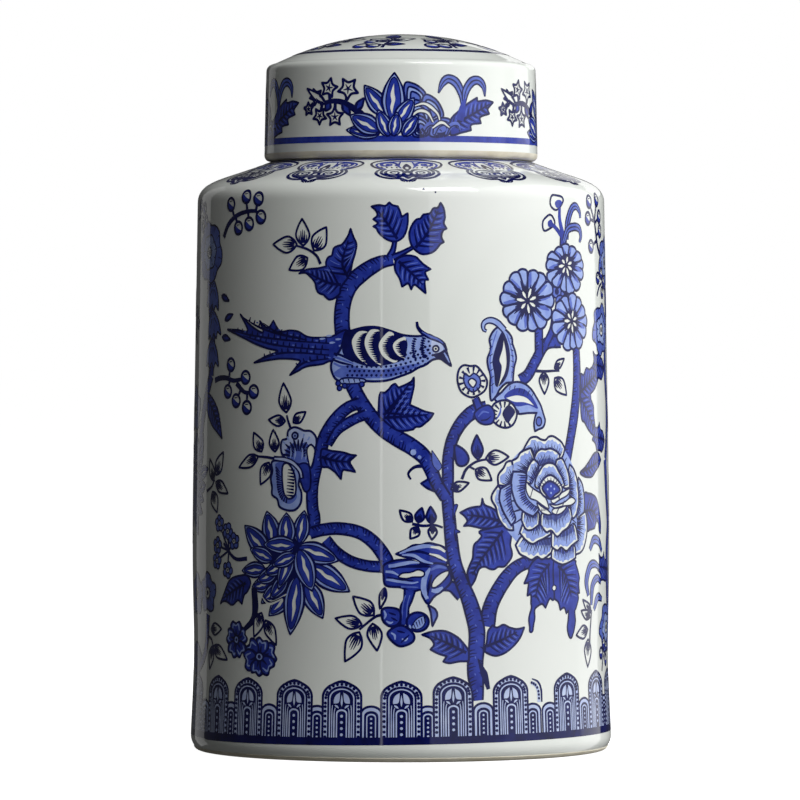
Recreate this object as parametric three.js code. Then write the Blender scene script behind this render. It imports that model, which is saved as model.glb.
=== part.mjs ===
// A lidded porcelain ginger jar: a hollow body with a collar, and a domed cap that slips over it.
// Millimetres, +Z up. The origin is the middle of the foot ring, on the surface the jar stands on.
import * as THREE from "three";

// Body, outside
const FOOT_FLAT_RADIUS = 84.0; // outer edge of the flat that touches the table
const FOOT_FLAT_WIDTH = 6.0; // width of that flat
const FOOT_RECESS = 4.0; // depth of the hollow under the base
const FOOT_ROUND_HEIGHT = 6.0; // height at which the foot's outer corner ends
const FLARE_RADIUS = 88.2;
const WAIST_RADIUS = 86.9;
const WAIST_HEIGHT = 42.0;
const BELLY_RADIUS = 87.4;
const BELLY_HEIGHT = 95.0;
const SHOULDER_RADIUS = 85.3;
const SIDE_TOP = 229.0; // height at which the side starts to turn into the shoulder
const SHOULDER_RISE = 17.3; // from the side's top to the lid's seat
const SHOULDER_TURN = 9.5; // how far the side's line carries on into the turn
const SHOULDER_SET_IN = 10.3; // how far in from the side the turn is over

// Body, walls and collar
const WALL = 5.0;
const FLOOR = 6.0;
const FLOOR_ROUND = 12.0; // radius between the inner wall and the floor
const COLLAR_HEIGHT = 22.0; // above the lid's seat
const COLLAR_WALL = 4.5;
const COLLAR_LIP = 2.0; // radius of the collar's rounded lip

// Lid
const LID_RADIUS = 57.3; // at the lid's lower edge
const LID_TAPER = 0.8; // how much smaller the radius is at the top of the side
const LID_WALL = 4.6;
const LID_SIDE = 40.8; // from the lower edge to the top corner
const LID_CORNER = 3.4; // radius of the top corner
const LID_EDGE_ROUND = 2.6; // radius of the lower edge's outer corner
const RIM_WIDTH = 8.3; // the sloping ring between the corner and the dome
const RIM_RISE = 3.7;
const DOME_RISE = 8.8;
const LID_CEILING_ROUND = 8.0; // radius between the lid's inner wall and its ceiling

// Fits
const LID_CLEARANCE = 1.2; // between the collar and the lid, on the radius
const SEAT_GAP = 0.4; // under the lid, for the grit and glaze it rests on
const SEAT_LEDGE = 2.2; // how far the seat runs out past the lid's inner wall

const ROUND_STEPS = 48; // facets around the axis
const CURVE_STEPS = 4; // points on each curve of a profile

const seatHeight = SIDE_TOP + SHOULDER_RISE;
const lidBore = LID_RADIUS - LID_WALL;
const collarRadius = lidBore - LID_CLEARANCE;
const seatEdge = lidBore + SEAT_LEDGE;

// The outside of the body, from the middle of the base to the lid's seat.
function drawOutside(profile) {
  const flatInner = FOOT_FLAT_RADIUS - FOOT_FLAT_WIDTH;
  profile.moveTo(0, FOOT_RECESS);
  profile.lineTo(flatInner - FOOT_RECESS, FOOT_RECESS);
  profile.quadraticCurveTo(flatInner, FOOT_RECESS, flatInner, 0);
  profile.lineTo(FOOT_FLAT_RADIUS, 0);
  profile.quadraticCurveTo(FLARE_RADIUS, 0, FLARE_RADIUS, FOOT_ROUND_HEIGHT);
  profile.splineThru([
    new THREE.Vector2(WAIST_RADIUS, WAIST_HEIGHT),
    new THREE.Vector2(BELLY_RADIUS, BELLY_HEIGHT),
    new THREE.Vector2(SHOULDER_RADIUS, SIDE_TOP),
  ]);
  profile.bezierCurveTo(
    SHOULDER_RADIUS,
    SIDE_TOP + SHOULDER_TURN,
    SHOULDER_RADIUS - SHOULDER_SET_IN,
    SIDE_TOP + SHOULDER_TURN,
    seatEdge,
    seatHeight,
  );
}

// The collar, from the seat up its outside, over the lip and down to the underside of the shoulder.
function drawCollar(profile) {
  const top = seatHeight + COLLAR_HEIGHT;
  const bore = collarRadius - COLLAR_WALL;
  profile.lineTo(collarRadius, seatHeight);
  profile.lineTo(collarRadius, top - COLLAR_LIP);
  profile.quadraticCurveTo(collarRadius, top, collarRadius - COLLAR_LIP, top);
  profile.lineTo(bore + COLLAR_LIP, top);
  profile.quadraticCurveTo(bore, top, bore, top - COLLAR_LIP);
  profile.lineTo(bore, seatHeight - WALL);
}

// The inside of the body, from under the shoulder down the wall to the middle of the floor.
function drawInside(profile) {
  const floorTop = FOOT_RECESS + FLOOR;
  const foot = FLARE_RADIUS - WALL;
  profile.bezierCurveTo(
    SHOULDER_RADIUS - SHOULDER_SET_IN,
    SIDE_TOP + SHOULDER_TURN - WALL,
    SHOULDER_RADIUS - WALL,
    SIDE_TOP + SHOULDER_TURN - WALL,
    SHOULDER_RADIUS - WALL,
    SIDE_TOP - WALL,
  );
  profile.splineThru([
    new THREE.Vector2(BELLY_RADIUS - WALL, BELLY_HEIGHT),
    new THREE.Vector2(WAIST_RADIUS - WALL, WAIST_HEIGHT),
    new THREE.Vector2(WAIST_RADIUS - WALL, floorTop + FLOOR_ROUND),
  ]);
  profile.quadraticCurveTo(WAIST_RADIUS - WALL, floorTop, foot - FLOOR_ROUND, floorTop);
  profile.lineTo(0, floorTop);
}

// The lid's section, from the middle of its ceiling round its lower edge to the top of its dome.
function drawLid(profile) {
  const bottom = seatHeight + SEAT_GAP;
  const sideTop = bottom + LID_SIDE - LID_CORNER;
  const topRadius = LID_RADIUS - LID_TAPER;
  const rimOuter = topRadius - LID_CORNER;
  const domeRadius = rimOuter - RIM_WIDTH;
  const rimTop = sideTop + LID_CORNER + RIM_RISE;
  const apex = rimTop + DOME_RISE;
  const ceiling = rimTop - LID_WALL;
  profile.moveTo(0, ceiling);
  profile.lineTo(lidBore - LID_CEILING_ROUND, ceiling);
  profile.quadraticCurveTo(lidBore, ceiling, lidBore, ceiling - LID_CEILING_ROUND);
  profile.lineTo(lidBore, bottom);
  profile.lineTo(LID_RADIUS - LID_EDGE_ROUND, bottom);
  profile.quadraticCurveTo(LID_RADIUS, bottom, LID_RADIUS, bottom + LID_EDGE_ROUND);
  profile.lineTo(topRadius, sideTop);
  profile.quadraticCurveTo(topRadius, sideTop + LID_CORNER, rimOuter, sideTop + LID_CORNER);
  profile.lineTo(domeRadius, rimTop);
  profile.bezierCurveTo(domeRadius * 0.8, apex - DOME_RISE / 3, domeRadius * 0.45, apex, 0, apex);
}

// A solid of revolution about +Z from a profile that starts and ends on the axis.
function turned(name, draw, material) {
  const profile = new THREE.Path();
  draw(profile);
  const points = profile.getPoints(CURVE_STEPS);
  const geometry = new THREE.LatheGeometry(points, ROUND_STEPS);
  geometry.rotateX(Math.PI / 2);
  const mesh = new THREE.Mesh(geometry, material);
  mesh.name = name;
  return mesh;
}

const glaze = new THREE.MeshStandardMaterial({ color: 0xe9ece6, roughness: 0.12, metalness: 0 });

const jar = new THREE.Group();
jar.add(
  turned(
    "jar_body",
    (profile) => {
      drawOutside(profile);
      drawCollar(profile);
      drawInside(profile);
    },
    glaze,
  ),
);
jar.add(turned("lid", drawLid, glaze.clone()));

export default jar;
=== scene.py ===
# A blue-and-white porcelain ginger jar with its loose lid, made round the fixed frame in the same metres.
import math

import bpy
import numpy as np
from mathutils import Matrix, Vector
from mathutils.geometry import delaunay_2d_cdt


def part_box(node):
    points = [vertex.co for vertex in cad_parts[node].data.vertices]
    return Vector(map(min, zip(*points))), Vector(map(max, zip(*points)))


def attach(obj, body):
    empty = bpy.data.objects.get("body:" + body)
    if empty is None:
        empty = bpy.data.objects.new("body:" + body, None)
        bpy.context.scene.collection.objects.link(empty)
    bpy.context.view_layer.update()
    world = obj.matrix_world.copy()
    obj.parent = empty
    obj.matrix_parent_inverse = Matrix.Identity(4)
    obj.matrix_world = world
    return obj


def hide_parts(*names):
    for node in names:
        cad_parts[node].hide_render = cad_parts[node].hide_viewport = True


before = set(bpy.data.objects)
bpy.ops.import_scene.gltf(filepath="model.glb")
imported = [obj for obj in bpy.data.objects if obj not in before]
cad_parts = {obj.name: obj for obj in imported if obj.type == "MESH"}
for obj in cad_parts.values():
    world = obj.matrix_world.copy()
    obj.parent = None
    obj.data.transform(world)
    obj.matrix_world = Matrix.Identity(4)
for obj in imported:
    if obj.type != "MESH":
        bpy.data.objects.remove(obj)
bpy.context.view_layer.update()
# ---------------------------------------------------------------------------------------------------
# The jar: a porcelain pot, cast in a mould and turned smooth, with a foot ring, a side that is gently
# waisted, a rounded shoulder and an upright collar. It is dipped in a clear, faintly green glaze.
# ---------------------------------------------------------------------------------------------------
MM = 0.001
FOOT_RADIUS, FLARE_RADIUS, FLARE_HEIGHT = 84.0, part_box("jar_body")[1].x / MM, 6.0
WAIST, BELLY, SHOULDER = (86.9, 42.0), (87.4, 95.0), (85.3, 229.0)       # radius and height
SEAT_HEIGHT, SEAT_RADIUS = 246.3, 54.9
COLLAR_TOP, COLLAR_RADIUS, MOUTH_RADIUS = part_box("jar_body")[1].z / MM, 51.5, 47.0
WALL, FLOOR_TOP, RECESS, FOOT_RING, LIP_ROUND = 5.0, 10.0, 4.0, 6.0, 2
GLAZE_ROUGHNESS, GLAZE_IOR = 0.045, 1.5
GIRTH_RADIUS = 87.0                            # round the side, painting is measured at this radius
TURNS = 288


def bend(a, b, c, d, steps):
    """Points along a bend from a to d, pulled towards b and c."""
    t = np.linspace(0, 1, steps)[:, None]
    a, b, c, d = (np.array(p, float) for p in (a, b, c, d))
    return (1 - t)**3 * a + 3 * (1 - t)**2 * t * b + 3 * (1 - t) * t**2 * c + t**3 * d


def through(points, steps=12):
    """A smooth line through (radius, height) points."""
    p = np.array(points, float)
    p = np.vstack([2 * p[0] - p[1], p, 2 * p[-1] - p[-2]])
    out = []
    for a, b, c, d in zip(p, p[1:], p[2:], p[3:]):
        t = np.arange(steps)[:, None] / steps
        out.append(0.5 * (2 * b + (c - a) * t + (2 * a - 5 * b + 4 * c - d) * t**2
                          + (3 * b - a - 3 * c + d) * t**3))
    return np.vstack(out + [p[-2:-1]])


def steps_between(a, b, step=2.0):
    """Points along a straight stretch, close enough together to shade evenly."""
    count = max(2, round(math.dist(a, b) / step) + 1)
    return np.linspace(a, b, count)


def turned(name, stretches, turns=TURNS):
    """A turned piece: its stretches, (radius, height) in millimetres, meet in crisp corners."""
    angle = np.arange(turns) * math.tau / turns
    ring = np.stack([np.sin(angle), -np.cos(angle)], 1)
    verts, faces, normals, base = [], [], [], 0
    for stretch in stretches:
        line = np.array(stretch, float)
        along = np.gradient(line, axis=0)
        out = np.stack([along[:, 1], -along[:, 0]], 1) / np.hypot(*along.T)[:, None]
        rows = len(line)
        verts.append(np.concatenate([line[:, None, :1] * ring, np.repeat(line[:, None, 1:], turns, 1)], 2))
        normals.append(np.concatenate([out[:, None, :1] * ring, np.repeat(out[:, None, 1:], turns, 1)], 2))
        i = np.arange(rows - 1)[:, None] * turns + base
        j = np.arange(turns)
        k = (j + 1) % turns
        faces.append(np.stack([i + j, i + k, i + turns + k, i + turns + j], 2).reshape(-1, 4))
        base += rows * turns
    verts = np.concatenate([v.reshape(-1, 3) for v in verts])
    normals = np.concatenate([n.reshape(-1, 3) for n in normals])
    faces = np.concatenate(faces)
    corner = normals[faces]
    # rows that meet at a crisp corner share their points, so that the piece is one closed skin
    keep, first, back = np.unique(np.round(verts, 4), axis=0, return_index=True, return_inverse=True)
    mesh = bpy.data.meshes.new(name)
    loops, kept = [], []
    for face, lit in zip(back.reshape(-1)[faces], corner):
        ring_of = [n for n in range(4) if face[n] != face[n - 1]]
        if len(ring_of) > 2:
            loops.append([int(face[n]) for n in ring_of])
            kept.extend(lit[n] for n in ring_of)
    mesh.from_pydata((verts[first] * MM).tolist(), [], loops)
    mesh.polygons.foreach_set("use_smooth", [True] * len(mesh.polygons))
    mesh.normals_split_custom_set([tuple(n) for n in kept])
    piece = bpy.data.objects.new(name, mesh)
    bpy.context.collection.objects.link(piece)
    return piece


def new_material(name):
    """A material, with its nodes, its links and its shader."""
    material = bpy.data.materials.new(name)
    material.use_nodes = True
    tree = material.node_tree
    return material, tree.nodes, tree.links, tree.nodes["Principled BSDF"]


def noise(nodes, links, scale, detail=2.0, roughness=0.5):
    """A noise that lies in the piece itself."""
    place = nodes.new("ShaderNodeTexCoord")
    texture = nodes.new("ShaderNodeTexNoise")
    texture.inputs["Scale"].default_value = scale
    texture.inputs["Detail"].default_value = detail
    texture.inputs["Roughness"].default_value = roughness
    links.new(place.outputs["Object"], texture.inputs["Vector"])
    return texture.outputs["Fac"]


def ramp(nodes, links, fac, *stops):
    """The colour at each value of fac, from (value, colour) stops."""
    made = nodes.new("ShaderNodeValToRGB")
    made.color_ramp.elements.remove(made.color_ramp.elements[1])
    for n, (at, colour) in enumerate(stops):
        stop = made.color_ramp.elements[0] if n == 0 else made.color_ramp.elements.new(at)
        stop.position = at
        stop.color = (*colour, 1)
    links.new(fac, made.inputs["Fac"])
    return made.outputs["Color"]


def glaze_waves(nodes, links, shader, depth=0.00016):
    """Fired glaze is never quite flat: long shallow waves, with a finer ripple over them."""
    long_bump, fine_bump = nodes.new("ShaderNodeBump"), nodes.new("ShaderNodeBump")
    links.new(noise(nodes, links, 22, 1.0), long_bump.inputs["Height"])
    links.new(noise(nodes, links, 190, 2.0), fine_bump.inputs["Height"])
    long_bump.inputs["Strength"].default_value = 0.55
    long_bump.inputs["Distance"].default_value = depth
    fine_bump.inputs["Strength"].default_value = 0.3
    fine_bump.inputs["Distance"].default_value = depth * 0.09
    links.new(long_bump.outputs["Normal"], fine_bump.inputs["Normal"])
    links.new(fine_bump.outputs["Normal"], shader.inputs["Normal"])


glaze, nodes, links, shader = new_material("clear_glaze_on_porcelain")
tint = ramp(nodes, links, noise(nodes, links, 14, 3.0), (0.32, (0.775, 0.81, 0.765)),
    (0.7, (0.815, 0.84, 0.805)))
links.new(tint, shader.inputs["Base Color"])
shader.inputs["Roughness"].default_value = GLAZE_ROUGHNESS
shader.inputs["IOR"].default_value = GLAZE_IOR
glaze_waves(nodes, links, shader)

side = through([(FLARE_RADIUS, FLARE_HEIGHT), WAIST, BELLY, SHOULDER], 26)
shoulder = bend(SHOULDER, (SHOULDER[0], 238.5), (75.0, 238.5), (SEAT_RADIUS, SEAT_HEIGHT), 30)
outside = np.vstack([bend((FOOT_RADIUS, 0), (86.2, 0.4), (FLARE_RADIUS, 3.4), side[0], 9)[:-1], side,
    shoulder[1:]])
ring_inside, lip_foot = FOOT_RADIUS - FOOT_RING, COLLAR_TOP - LIP_ROUND
in_shoulder, in_belly, in_waist = SHOULDER[0] - WALL, BELLY[0] - WALL, WAIST[0] - WALL
jar = turned("jar_body_glazed", [
    steps_between((0.01, RECESS), (ring_inside, RECESS), 6),
    steps_between((ring_inside, RECESS), (ring_inside, 0)),
    steps_between((ring_inside, 0), (FOOT_RADIUS, 0), 3),
    outside,
    steps_between((SEAT_RADIUS, SEAT_HEIGHT), (COLLAR_RADIUS, SEAT_HEIGHT)),
    steps_between((COLLAR_RADIUS, SEAT_HEIGHT), (COLLAR_RADIUS, lip_foot), 5),
    bend((COLLAR_RADIUS, lip_foot), (COLLAR_RADIUS, COLLAR_TOP), (MOUTH_RADIUS, COLLAR_TOP),
         (MOUTH_RADIUS, lip_foot), 13),
    steps_between((MOUTH_RADIUS, lip_foot), (MOUTH_RADIUS, SEAT_HEIGHT - 4), 5),
    bend((MOUTH_RADIUS, SEAT_HEIGHT - 4), (72, 233.5), (in_shoulder, 233.5), (in_shoulder, 226), 20),
    through([(in_shoulder, 226), (in_belly, BELLY[1]), (in_waist, WAIST[1]), (in_waist, 22)], 14),
    bend((in_waist, 22), (in_waist, FLOOR_TOP), (in_waist, FLOOR_TOP), (70, FLOOR_TOP), 12),
    steps_between((70, FLOOR_TOP), (0.01, FLOOR_TOP), 8)])
jar.data.materials.append(glaze)
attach(jar, "jar")
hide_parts("jar_body")

# ---------------------------------------------------------------------------------------------------
# The foot: the underside of the foot ring is wiped clean before firing, so that the jar doesn't stick
# to the kiln shelf. It is left as bare, slightly buff porcelain with a fine tooth.
# ---------------------------------------------------------------------------------------------------
BARE_PROUD = 0.06

bare, nodes, links, shader = new_material("bare_porcelain")
tint = ramp(nodes, links, noise(nodes, links, 120, 5.0), (0.3, (0.60, 0.55, 0.42)), (0.72,
    (0.74, 0.70, 0.58)))
links.new(tint, shader.inputs["Base Color"])
shader.inputs["Roughness"].default_value = 0.62
tooth = nodes.new("ShaderNodeBump")
tooth.inputs["Strength"].default_value = 0.5
tooth.inputs["Distance"].default_value = 0.00012
links.new(noise(nodes, links, 2600, 3.0), tooth.inputs["Height"])
links.new(tooth.outputs["Normal"], shader.inputs["Normal"])


def bare_ring(name, face, depth):
    """A ring of wiped clay over the stretch, sunk back into the pot by the depth."""
    line = np.array(face, float)
    along = np.gradient(line, axis=0)
    out = np.stack([along[:, 1], -along[:, 0]], 1) / np.hypot(*along.T)[:, None]
    front, rear = line + out * BARE_PROUD, line - out * depth
    ring = turned(name, [front, steps_between(front[-1], rear[-1], 1), rear[::-1], steps_between(rear[0],
        front[0], 1)])
    ring.data.materials.append(bare)
    return ring


foot = np.vstack([steps_between((FOOT_RADIUS - 5.4, 0.06), (FOOT_RADIUS - 0.6, 0.06), 1)[:-1],
                  bend((FOOT_RADIUS - 0.6, 0.06), (85.4, 0.1), (86.3, 0.6), (86.9, 1.7), 7)])
foot_ring = bare_ring("foot_ring_bare", foot, 0.5)
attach(foot_ring, "jar")

# ---------------------------------------------------------------------------------------------------
# The lid: a cap with a straight side, a stepped rim and a low dome, hollow underneath. It drops over
# the collar and rests on the shoulder. It is glazed like the jar, but for its lower edge.
# ---------------------------------------------------------------------------------------------------
LID_FOOT, LID_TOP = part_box("lid")[0].z / MM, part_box("lid")[1].z / MM
LID_RADIUS, LID_TAPER, LID_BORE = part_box("lid")[1].x / MM, 0.8, 52.7
RIM_TOP, RIM_CORNER, RIM_RADIUS, DOME_FOOT, DOME_RADIUS = 284.1, 287.5, 53.1, 291.2, 44.8
CEILING, LID_COVE, LID_ROUND = 286.6, 8, 2.6

lid_side = np.vstack([
    bend((LID_RADIUS - LID_ROUND, LID_FOOT), (LID_RADIUS - 0.9, LID_FOOT), (LID_RADIUS, LID_FOOT + 1),
         (LID_RADIUS, LID_FOOT + LID_ROUND), 8)[:-1],
    steps_between((LID_RADIUS, LID_FOOT + LID_ROUND), (LID_RADIUS - LID_TAPER, RIM_TOP), 2.5)[:-1],
    bend((LID_RADIUS - LID_TAPER, RIM_TOP), (LID_RADIUS - LID_TAPER, 286.6), (54.8, 287.1),
         (RIM_RADIUS, RIM_CORNER), 9)[:-1],
    steps_between((RIM_RADIUS, RIM_CORNER), (DOME_RADIUS, DOME_FOOT), 1.6)])
dome_bend = (DOME_RADIUS**2 + (LID_TOP - DOME_FOOT)**2) / (2 * (LID_TOP - DOME_FOOT))
dome_r = np.linspace(DOME_RADIUS, 0.01, 26)
dome = np.stack([dome_r, LID_TOP - dome_bend + np.sqrt(dome_bend**2 - dome_r**2)], 1)
lid = turned("lid_glazed", [
    lid_side, dome,
    steps_between((0.01, CEILING), (LID_BORE - LID_COVE, CEILING), 6),
    bend((LID_BORE - LID_COVE, CEILING), (LID_BORE - 3.5, CEILING), (LID_BORE, CEILING - 3.5),
         (LID_BORE, CEILING - LID_COVE), 10),
    steps_between((LID_BORE, CEILING - LID_COVE), (LID_BORE, LID_FOOT), 5),
    steps_between((LID_BORE, LID_FOOT), (LID_RADIUS - LID_ROUND, LID_FOOT), 1)])
lid.data.materials.append(glaze)
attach(lid, "lid")
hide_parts("lid")

# the lid's lower edge is wiped clean too, so that lid and jar don't fuse in the kiln
lid_edge = np.vstack([steps_between((LID_BORE + 0.6, LID_FOOT + 0.02), (LID_RADIUS - LID_ROUND, LID_FOOT
    + 0.02), 1)[:-1], bend((LID_RADIUS - LID_ROUND, LID_FOOT + 0.02), (LID_RADIUS - 0.9, LID_FOOT + 0.02),
    (LID_RADIUS, LID_FOOT + 1), (LID_RADIUS, LID_FOOT + 2.9), 9)])
lid_ring = bare_ring("lid_edge_bare", lid_edge, 0.5)
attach(lid_ring, "lid")
# ---------------------------------------------------------------------------------------------------
# The base border: a ring of arched windows, painted in cobalt under the glaze just above the foot.
# It was made as printed paper strips laid round the wet glaze, so the arches aren't quite even, and
# the strips meet in an overlap. All painting here is flat shapes laid one over another, then fired.
# ---------------------------------------------------------------------------------------------------
BARE, FAINT, PALE, MID, DEEP, LINE = range(6)  # how much cobalt a brush mark leaves, from none to most
BRUSH_STEP = 0.45                             # millimetres between the points of a painted edge


def curve(points, closed=False, step=BRUSH_STEP):
    """A smooth line through the points. A point given twice running is a sharp corner."""
    p = np.array(points, float)
    p = np.vstack([p[-1:], p, p[:2]]) if closed else np.vstack([2 * p[0] - p[1], p, 2 * p[-1] - p[-2]])
    out = []
    for a, b, c, d in zip(p, p[1:], p[2:], p[3:]):
        gap = math.hypot(*(c - b))
        if gap < 1e-6:
            continue
        t = np.arange(0, 1, 1 / max(2, math.ceil(gap / step)))[:, None]
        out.append(0.5 * (2 * b + (c - a) * t + (2 * a - 5 * b + 4 * c - d) * t**2
                          + (3 * b - a - 3 * c + d) * t**3))
    if not closed:
        out.append(p[-2:-1])
    return np.vstack(out)


def across(line, closed=False):
    """The unit vectors square to a line, on its left."""
    if closed:
        along = np.roll(line, -1, 0) - np.roll(line, 1, 0)
    else:
        along = np.gradient(line, axis=0)
    along /= np.maximum(np.hypot(*along.T), 1e-9)[:, None]
    return np.stack([-along[:, 1], along[:, 0]], 1)


def turned_left(loop):
    """The loop with its inside on its left."""
    x, y = loop.T
    return loop if np.sum(x * np.roll(y, -1) - y * np.roll(x, -1)) > 0 else loop[::-1]


def stroke(points, width, tone=LINE, closed=False):
    """One brush stroke along the points. Several widths are spread along its length."""
    line = curve(points, closed)
    if len(line) < 2:
        return []
    spread = np.linspace(0, 1, len(line))
    half = np.interp(spread, np.linspace(0, 1, np.size(width)), np.atleast_1d(width)) / 2
    side = across(line, closed) * half[:, None]
    if closed:
        ring = turned_left(line)
        side = across(ring, True) * half[:, None]
        return [(ring - side, tone, ring + side)]
    return [(turned_left(np.vstack([line + side, (line - side)[::-1]])), tone, None)]


def shape(points, tone, edge=0.95, smooth=True):
    """A filled shape with a dark edge."""
    loop = turned_left(curve(points, True) if smooth else np.array(points, float))
    if not edge:
        return [(loop, tone, None)]
    side = across(loop, True) * edge / 2
    return [(loop - side, LINE, None), (loop + side, tone, None)]


def spot(x, z, r, tone, tall=1.0, edge=0.0):
    """A round spot, or a tall or a flat one."""
    a = np.linspace(0, math.tau, max(8, round(math.tau * r / BRUSH_STEP)), endpoint=False)
    return shape(np.stack([x + r * np.cos(a), z + r * tall * np.sin(a)], 1), tone, edge, smooth=False)


def moved(marks, x=0.0, z=0.0, flip=False, grow=1.0, turn=0.0):
    """Painted marks mirrored, grown and turned about their own origin, then moved."""
    c, s = math.cos(math.radians(turn)) * grow, math.sin(math.radians(turn)) * grow
    spin = np.array([[c, s], [-s, c]])
    if flip:
        spin = np.array([[-1, 0], [0, 1]]) @ spin

    def place(loop):
        return None if loop is None else turned_left(loop @ spin + (x, z))

    return [(place(a), tone, place(b)) for a, tone, b in marks]
LARGE_ARCH, LARGE_TOP = 8.6, 33.5
SMALL_ARCH, SMALL_TOP = 4.6, 23.3
BAND_LOW, BAND_HIGH = 7.0, 9.2
SLANT = 1.2                                   # how far out of true the strips were laid
PITCH, SECOND = 45.55, 21.1                   # the arches stand in pairs along a strip
HALF_ROUND = math.pi * GIRTH_RADIUS


def arch(half, top, foot=BAND_LOW + 0.6, point=0.0):
    """An arched window's outline, standing on the band, with a slight point to its crown."""
    rise = min(half * 0.75, 6.2)
    a = np.linspace(0, math.pi, max(12, round(half * 4)) | 1)
    crown = np.stack([half * np.cos(a), top - rise + rise * np.sin(a)], 1)
    crown[:, 1] += point * np.clip(1 - np.abs(crown[:, 0]) / (half * 0.5), 0, 1) - point
    return np.vstack([[(half, foot)], crown, [(-half, foot)]])


def filled(outline, tone):
    """A flat patch of one tone inside the outline."""
    return [(turned_left(np.array(outline, float)), tone, None)]


def washed(points, tone):
    """A flat patch of one tone, with a smooth rim through the points."""
    return filled(curve(points, True), tone)


def band(low, high, half, tone):
    """A line right round a turned part, in short lengths so that it keeps to the curve."""
    s = np.linspace(-half, half, math.ceil(half))
    return filled([(x, low) for x in s] + [(x, high) for x in s[::-1]], tone)


def between(outer, inner, tone):
    """The strip between two outlines, painted in one tone."""
    return [(turned_left(outer), tone, turned_left(inner))]


def large_arch():
    """A window with a beaded frame, a star in its crown and a beaded pillar."""
    marks = filled(arch(LARGE_ARCH, LARGE_TOP, point=0.7), LINE)
    marks += between(arch(7.6, 32.2, point=0.3), arch(6.15, 31.0), FAINT)
    beads = curve([(-6.95, 10.4), (-6.95, 24), (-6.2, 28.4), (-3.6, 31.0), (0, 31.7),
                   (3.6, 31.0), (6.2, 28.4), (6.95, 24), (6.95, 10.4)], step=2.2)
    for x, z in beads:
        marks += spot(x, z, 0.68, LINE)
    marks += between(arch(5.3, 30.0), arch(4.8, 29.5), FAINT)
    for side in (-1, 1):
        pane = [(3.4, 23.9), (3.4, 23.9), (3.3, 25.6), (2.4, 27.3), (0.7, 28.4), (0.7, 28.4), (0.85, 26),
            (1.4, 24.2)]
        marks += washed([(side * x, z) for x, z in pane], FAINT)
        marks += stroke([(side * 2.9, 23.2), (side * 1.9, 22.6), (side * 1.3, 22.0)], (0.4, 0.9, 0.3), FAINT)
        marks += stroke([(side * 3.15, 7.6), (side * 3.15, 19.5), (side * 2.7, 22.2)], (0.55, 0.55, 0.3),
            FAINT)
        marks += stroke([(side * 4.1, 7.6), (side * 4.1, 20), (side * 3.9, 23.2)], (0.42, 0.42, 0.3), FAINT)
    marks += washed([(0, 27.6), (0, 27.6), (0.45, 24.6), (0, 22.6), (0, 22.6), (-0.45, 24.6)], FAINT)
    marks += between(arch(2.35, 21.6), arch(1.8, 20.9), FAINT)
    for i in range(4):
        marks += spot(0, 18.8 - 2.5 * i, 0.62, FAINT)
    return marks


def small_arch():
    """A low window round a row of beads."""
    marks = filled(arch(SMALL_ARCH, SMALL_TOP), LINE)
    marks += between(arch(3.8, 22.3), arch(2.95, 21.0), FAINT)
    marks += between(arch(2.0, 19.9), arch(1.55, 19.3), FAINT)
    for i in range(5):
        marks += spot(0, 17.8 - 1.85 * i, 0.47, FAINT)
    return marks


def border_strip(places, lift=0.0):
    """One printed strip: small arches first, then the large ones over them, all set up by the lift."""
    marks = []
    for left, right in zip(places, places[1:]):
        marks += moved(small_arch(), (left + right) / 2, lift * 0.6)
    for place in places:
        marks += moved(large_arch(), place, lift)
    return marks


def pairs(start, count):
    """Where the large arches of a strip stand."""
    return [start + PITCH * i + step for i in range(count) for step in (0, SECOND)]


def out_of_true(marks):
    """The strips rise a little to the right along their foot."""
    def lean(loop):
        if loop is None:
            return None
        low = np.clip(1 - (loop[:, 1] - BAND_LOW) / 20, 0, 1)
        return loop + np.stack([0 * low, low * (0.3 + SLANT * np.sin(loop[:, 0] / GIRTH_RADIUS))], 1)

    return [(lean(a), tone, lean(b)) for a, tone, b in marks]


# three strips, and the small arches that show where they meet
border = [mark for place in (10.9, 57.6, 67.0) for mark in moved(small_arch(), place)]
border += border_strip(pairs(0.2 - 5 * PITCH, 5) + [0.2])
border += border_strip([21.4, 47.0], 1.6)
border += border_strip([78.2, 103.4] + pairs(78.2 + PITCH, 4) + [278.0], 1.6)
border += band(BAND_LOW, BAND_HIGH + 1, HALF_ROUND, LINE)
sliver = [(57.4, 31.6), (59.4, 30.6), (60.9, 28), (61.1, 23.4)]
border += stroke([(57.6, 33.2), (60.8, 31.8), (62.4, 28.6), (62.6, 23.4)], (0.5, 1.0, 1.0,
    0.8)) + stroke(sliver, 1.6, FAINT)
for x, z in curve(sliver, step=2.2)[:-1]:
    border += spot(x, z, 0.62, LINE)
border = out_of_true(border)
# ---------------------------------------------------------------------------------------------------
# The scene: a flowering tree with a long-tailed bird, drawn in dark outline and washed in with blue.
# It goes twice round the jar. First come the branches: blue wash, dark edges and short bark strokes.
# ---------------------------------------------------------------------------------------------------
scene = []


def branch(points, width, bark=True, tone=DEEP):
    """A branch with dark edges, with short bark strokes in from them and a few light flecks."""
    widths = np.atleast_1d(np.array(width, float))
    marks = stroke(points, widths + 0.9, LINE) + stroke(points, np.maximum(widths - 0.9, 0.3), tone)
    if not bark:
        return marks
    line = curve(points)
    side = across(line)
    half = np.interp(np.linspace(0, 1, len(line)), np.linspace(0, 1, len(widths)), widths) / 2
    for n, i in enumerate(range(3, len(line) - 4, 3)):
        edge = -1 if n % 4 == 3 else 1
        start = line[i] + side[i] * half[i] * edge
        reach = 0.45 if edge < 0 else (-0.1 if n % 2 else 0.2)
        end = line[i + 2] + side[i] * half[i] * edge * reach
        marks += stroke([start, (start + end) / 2 + (0, 0.15), end], (0.8, 0.55, 0.25), LINE)
        if n % 5 == 2:
            marks += stroke([line[i], line[i + 2] + side[i] * 0.3], (0.3, 0.6, 0.2), MID)
    return marks


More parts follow.
